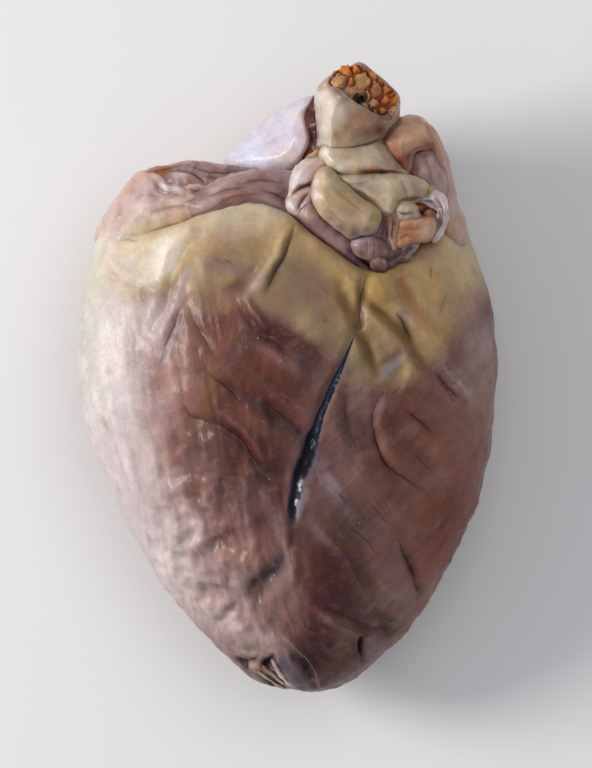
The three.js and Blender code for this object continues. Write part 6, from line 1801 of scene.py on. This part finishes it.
def makeTissueMaterial(name, fibreShare, grainShare, coat, layered=False):
    # the mesh's painted tone under noise, film, creases and scratches; layered adds the fat's frayed
    # edge, the specks and the vein
    finish = tissueFinish
    material = bpy.data.materials.new(name)
    material.use_nodes = True
    tree = material.node_tree
    tree.nodes.clear()
    output = tree.nodes.new("ShaderNodeOutputMaterial")
    shader = tree.nodes.new("ShaderNodeBsdfPrincipled")
    tree.links.new(shader.outputs["BSDF"], output.inputs["Surface"])
    coordinates = tree.nodes.new("ShaderNodeTexCoord").outputs["Object"]
    tone = attributeNode(tree, "tone", "Color")
    fat = attributeNode(tree, "fat")
    film = attributeNode(tree, "film")
    slant = attributeNode(tree, "slant")
    fineFibres = fibrePair(tree, coordinates, slant, finish["fineFibres"], 4)
    bundles = fibrePair(tree, coordinates, slant, finish["bundles"], 3)
    noises = (finish[key] for key in ("blotches", "patches", "mottle", "grain"))
    blotches, patches, mottle, grain = (noiseNode(tree, coordinates, *row) for row in noises)

    # the fat's edge frays along the fibres
    if layered:
        frayed = shiftedNode(tree, shiftedNode(tree, fat, mottle, 0.5), bundles, 0.45)
        fat = spread(tree, frayed, 0.1, 0.9)
        tone = mixNode(tree, "RGBA", fat, tone, attributeNode(tree, "fatTone", "Color"))
    muscle = times(tree, mathNode(tree, "SUBTRACT", 1.0, fat, clamp=True), fibreShare)

    # warmer and cooler blotches, ochre patches in the muscle
    tint = spread(tree, blotches, 0.36, 0.64)
    tint = mixNode(tree, "RGBA", tint, finish["warmTint"], finish["coolTint"])
    bare = spread(tree, film, 0, 0.8, 1, 0.15)
    tone = mixNode(tree, "RGBA", times(tree, bare, finish["hueSwing"]), tone, tint, "MULTIPLY")
    ochre = spread(tree, patches, 0.54, 0.7, 0, finish["ochreShare"])
    tone = paintOver(tree, tone, times(tree, ochre, times(tree, muscle, bare)), finish["ochreShade"])
    swings = times(
        tree, swingNode(tree, mottle, finish["mottleSwing"]), swingNode(tree, grain, finish["grainSwing"])
    )
    fibreSwings = times(
        tree, swingNode(tree, fineFibres, finish["fibreSwing"]),
        swingNode(tree, bundles, finish["bundleSwing"]),
    )
    swings = times(tree, swings, mixNode(tree, "FLOAT", muscle, 1.0, fibreSwings))
    tone = scaleTone(tree, tone, swings)

    # thin bluish film, in streaks along the bundles
    streaks = spread(tree, shiftedNode(tree, bundles, patches, 0.7), 0.42, 0.62)
    filmAmount = times(tree, film, streaks, clamp=True)
    tone = paintOver(tree, tone, times(tree, filmAmount, finish["filmShare"]), finish["filmShade"])

    # creases: painted shade, dark in the line with a softer band round it, and pale threads, painted
    # highlights, where the strength is negative
    seam = shiftedNode(tree, attributeNode(tree, "seam"), patches, 0.5)
    strength = attributeNode(tree, "creaseLineStrength")
    broken = spread(tree, mottle, 0.3, 0.55, 0.45, 1)
    line = times(tree, bellNode(tree, seam, finish["creaseWidth"]), broken)
    darkLine = times(tree, line, strength, clamp=True)
    paleLine = times(tree, line, times(tree, strength, -1.0), clamp=True)
    softLine = times(tree, bellNode(tree, seam, 3 * finish["creaseWidth"]), strength, clamp=True)
    tone = paintOver(tree, tone, times(tree, softLine, finish["creaseHalo"]), finish["creaseShadowAndScratches"])
    tone = paintOver(tree, tone, times(tree, darkLine, finish["creaseShare"]), finish["creaseShadowAndScratches"])
    tone = paintOver(tree, tone, times(tree, paleLine, finish["threadHighlightShare"]), finish["threadHighlight"])

    # hair-fine scratches along the fibres, where a stretched noise crosses its middle
    scratchNoise = fibrePair(tree, coordinates, slant, finish["scratchLines"], 2)
    scratch = bellNode(tree, mathNode(tree, "SUBTRACT", scratchNoise, 0.5), finish["scratchWidth"])
    scratch = times(tree, scratch, spread(tree, blotches, 0.5, 0.62))
    scratch = times(tree, scratch, times(tree, muscle, finish["scratches"]))
    tone = paintOver(tree, tone, scratch, finish["creaseShadowAndScratches"])
    height = mathNode(tree, "SUBTRACT", paleLine, mathNode(tree, "ADD", darkLine, scratch))

    if layered:
        specks, which = speckNodes(
            tree, coordinates, finish["speckScale"], finish["speckSize"], finish["specks"]
        )
        speckTone = spread(tree, which, 0.45, 0.55)
        speckTone = mixNode(tree, "RGBA", speckTone, finish["paleSpeck"], finish["rustSpeck"])
        specks = times(tree, specks, times(tree, muscle, spread(tree, blotches, 0.45, 0.6)))
        tone = mixNode(tree, "RGBA", specks, tone, speckTone)
        tone = addVein(tree, tone, patches)
    tree.links.new(tone, shader.inputs["Base Color"])

    gloss = spread(tree, mottle, 0.2, 0.8, finish["roughness"] - finish["roughnessSwing"],
                   finish["roughness"] + finish["roughnessSwing"])
    filmGloss = times(tree, filmAmount, finish["filmGloss"])
    gloss = mathNode(tree, "SUBTRACT", gloss, filmGloss, clamp=True)
    # the upper vein is dull
    if layered:
        off = mathNode(tree, "ABSOLUTE", attributeNode(tree, "veinAcross"), 0.0)
        dull = spread(tree, attributeNode(tree, "veinPlace"), 0.68, 0.74, 0.45, 0)
        dull = times(tree, dull, attributeNode(tree, "veinShare"))
        gloss = mathNode(tree, "ADD", gloss, times(tree, dull, spread(tree, off, 1.8, 1.2)))
    tree.links.new(gloss, shader.inputs["Roughness"])

    normal = bumpNode(tree, times(tree, fineFibres, muscle), finish["fibreBump"])
    normal = bumpNode(tree, times(tree, grain, grainShare), finish["grainBump"], normal)
    normal = bumpNode(tree, patches, finish["patchBump"], normal)
    normal = bumpNode(tree, height, finish["creaseBump"], normal)
    tree.links.new(normal, shader.inputs["Normal"])

    shader.inputs["Subsurface Weight"].default_value = finish["subsurface"]
    shader.inputs["Subsurface Radius"].default_value = finish["subsurfaceRadius"]
    shader.inputs["Subsurface Scale"].default_value = finish["subsurfaceDepth"]
    shader.inputs["Coat Weight"].default_value = coat
    shader.inputs["Coat Roughness"].default_value = finish["coatRoughness"]
    shader.inputs["Specular IOR Level"].default_value = finish["specular"]
    return material


def addVein(tree, tone, wander):
    # narrow and blue-grey between two dark lines above, black below with navy edges, a pale bank on
    # both sides, a painted sheen on its right bank lower down and a few painted wet glints on the right
    # of its lower part; across is in half widths
    finish = veinFinish
    across = shiftedNode(tree, attributeNode(tree, "veinAcross"), wander, finish["wander"])
    share = attributeNode(tree, "veinShare")
    place = attributeNode(tree, "veinPlace")
    low = spread(tree, place, 0.42, 0.52)
    off = mathNode(tree, "ABSOLUTE", across, 0.0)
    bank = times(tree, spread(tree, off, 2.6, 1.0), times(tree, share, finish["bankShare"]))
    tone = paintOver(tree, tone, bank, finish["bank"])
    # painted sheen on the right bank of its lower part
    right = times(tree, spread(tree, across, 0.9, 1.5), spread(tree, across, 3.2, 1.6))
    right = times(tree, right, times(tree, spread(tree, place, 0.76, 0.82), finish["sheenShare"]))
    tone = paintOver(tree, tone, times(tree, right, share), finish["sheen"])
    edge = times(tree, spread(tree, off, 1.3, 0.8), share)
    tone = paintOver(tree, tone, edge, finish["edge"])
    middle = times(tree, bellNode(tree, off, 0.45), mathNode(tree, "SUBTRACT", 1.0, low, clamp=True))
    tone = paintOver(tree, tone, times(tree, middle, share), finish["middle"])
    twin = bellNode(tree, mathNode(tree, "SUBTRACT", off, 0.8), 0.25)
    core = mixNode(tree, "FLOAT", low, twin, spread(tree, off, 1.0, 0.55))
    navy = times(tree, spread(tree, across, -0.1, -0.7, 0, 0.7), spread(tree, place, 0.7, 0.8))
    core = times(tree, times(tree, core, mathNode(tree, "SUBTRACT", 1.0, navy)), share)
    tone = paintOver(tree, tone, core, finish["core"])
    # painted wet glints
    glint = bellNode(tree, mathNode(tree, "SUBTRACT", across, 0.75), 0.3)
    ends = times(tree, spread(tree, place, 0.72, 0.78), spread(tree, place, 0.95, 0.88))
    glint = times(tree, times(tree, glint, ends), spread(tree, wander, 0.47, 0.56))
    return paintOver(tree, tone, times(tree, glint, share), finish["glint"])


def makeVentricles(material):
    # the surface moved along its normals by folds, swellings, wrinkles and knobbles, and painted
    v = ventricles
    points, fade, front, lipCos = ventricleSurface()
    normals = gridNormals(points)
    x, y = points[..., 0], points[..., 1]
    strayX = x + v["wander"] * layeredNoise(points, 4.5, 191)
    strayY = y + v["wander"] * layeredNoise(points, 4.5, 193)
    relief, shade = foldRelief(strayX, strayY, mainFolds.values())
    relief *= 1 + v["foldVariety"] * layeredNoise(points, 3.5, 197)
    ridged, bundles, slant = fibreWrinkles(points)
    faces = smoothStep(-0.5, 0.15, front)
    fat = fatShare(points, faces)
    muscle = 1 - fat
    rise = relief * fade + layeredNoise(points, (11, 14, 11), 31) * v["swellHeight"]
    rise += ridged * v["wrinkleHeight"] * mix(v["wrinklesOnFat"], 1, muscle)
    rise += bundles * v["bundleHeight"] * mix(v["bundlesOnFat"], 1, muscle)
    knobbly = sum(patchShare(x, y, patch) for patch in knobblyPatches)
    rise += layeredNoise(points, 3.4, 37, 2) * v["knobbleHeight"] * np.clip(knobbly, 0.15, 1)
    veinAcross, veinShare, veinPlace = veinAt(x, y)
    rise -= frontVein["depth"] * smoothStep(1.2, 0.7, np.abs(veinAcross)) * veinShare * fade
    # painted shade in the crevices where the forms meet the ventricles
    crevice = np.zeros(x.shape)
    for form in forms.values():
        nearest = distanceToForm(form, points)
        dark = min(1, v["creviceGain"] * form["crease"])
        dark = dark * np.exp(-((np.maximum(nearest, 0) / v["creviceWidth"]) ** 2))
        crevice = np.maximum(crevice, dark * (nearest > -6))
    moved = points + normals * (rise * np.clip(lipCos, 0, 1))[..., None]
    moved[0], moved[-1] = moved[0].mean(axis=0), moved[-1].mean(axis=0)
    moved[..., 2] = np.maximum(moved[..., 2], 0)
    muscleTone, fatTone, film = paintVentricles(moved, faces, rise, shade * fade, crevice, fat)
    drawn = [[line, path] for _, _, _, line, path in mainFolds.values() if line] + fineCreases
    seam, strength = creaseLines(strayX, strayY, drawn)
    layers = {
        "tone": muscleTone, "fatTone": fatTone, "fat": fat, "film": film, "slant": slant,
        "seam": seam, "creaseLineStrength": strength * fade,
        "veinAcross": veinAcross, "veinShare": veinShare * fade, "veinPlace": veinPlace,
    }
    return makeGridPiece("ventricles", moved, layers, material)


print("tissue materials")
muscleTissue = makeTissueMaterial("muscleTissue", 1.0, 1.0, 0.1, layered=True)
baseTissue = makeTissueMaterial("baseTissue", 0.25, 1.0, 0.22)
crumbTissue = makeTissueMaterial("crumbTissue", 0.0, 1.5, 0.1)

print("ventricles")
makeVentricles(muscleTissue)
print("forms at the base and the apex")
for name, form in forms.items():
    makeForm(name, form, baseTissue)
print("cut vessel and its crumbs")
makeStump(baseTissue)
makeCrumbs(crumbTissue)


# Floor, lights and camera, in metres
studio = {
    "floorSize": 6.0,
    "floorShade": (0.93, 0.93, 0.93, 1),
    "floorRoughness": 0.9,
    "worldShade": (0.8, 0.82, 0.86, 1),
    "worldStrength": 0.42,
    "cameraPlace": (0.00223, -0.00123, 2.5),
    "viewHeight": 0.1715,  # metres over the 768 rows of the photo's frame
    "viewLevel": 0.028,  # height over the table at which it is measured
    "lights": [
        {"name": "largeSoftbox", "place": (-1.1, 0.2, 0.72), "size": 0.5, "power": 12,
         "shade": (1, 0.98, 0.95)},
        {"name": "topFill", "place": (0.3, 0.5, 1.6), "size": 1.2, "power": 4.5,
         "shade": (0.95, 0.97, 1)},
    ],
}


def makeFloor():
    # a square with its middle under the heart
    half = studio["floorSize"] / 2
    corners = [(-half, -half, 0), (half, -half, 0), (half, half, 0), (-half, half, 0)]
    mesh = bpy.data.meshes.new("tableTop")
    mesh.from_pydata(corners, [], [(0, 1, 2, 3)])
    material = bpy.data.materials.new("tableTop")
    material.use_nodes = True
    shader = material.node_tree.nodes["Principled BSDF"]
    shader.inputs["Base Color"].default_value = studio["floorShade"]
    shader.inputs["Roughness"].default_value = studio["floorRoughness"]
    mesh.materials.append(material)
    floor = bpy.data.objects.new("tableTop", mesh)
    bpy.context.collection.objects.link(floor)


def makeLights():
    # each lamp looks at the origin
    for row in studio["lights"]:
        light = bpy.data.lights.new(row["name"], "AREA")
        light.shape = "DISK"
        light.size = row["size"]
        light.energy = row["power"]
        light.color = row["shade"]
        lamp = bpy.data.objects.new(row["name"], light)
        lamp.location = row["place"]
        lamp.rotation_euler = Vector(row["place"]).to_track_quat("Z", "Y").to_euler()
        bpy.context.collection.objects.link(lamp)
    world = bpy.data.worlds.new("softRoom")
    world.use_nodes = True
    background = world.node_tree.nodes["Background"]
    background.inputs["Color"].default_value = studio["worldShade"]
    background.inputs["Strength"].default_value = studio["worldStrength"]
    bpy.context.scene.world = world


def setFilm():
    # colours on the screen as they are in the materials, without a film curve
    bpy.context.scene.view_settings.view_transform = "Standard"


def makeCamera():
    # lens = sensor * distance / view height, the sensor being fitted to the taller side
    camera = bpy.data.cameras.new("topCamera")
    camera.sensor_fit = "VERTICAL"
    camera.sensor_height = 24
    place = studio["cameraPlace"]
    camera.lens = camera.sensor_height * (place[2] - studio["viewLevel"]) / studio["viewHeight"]
    camera.clip_end = 20
    holder = bpy.data.objects.new("topCamera", camera)
    holder.location = place
    bpy.context.collection.objects.link(holder)
    bpy.context.scene.camera = holder


print("floor, lights and camera")
makeFloor()
makeLights()
setFilm()
makeCamera()
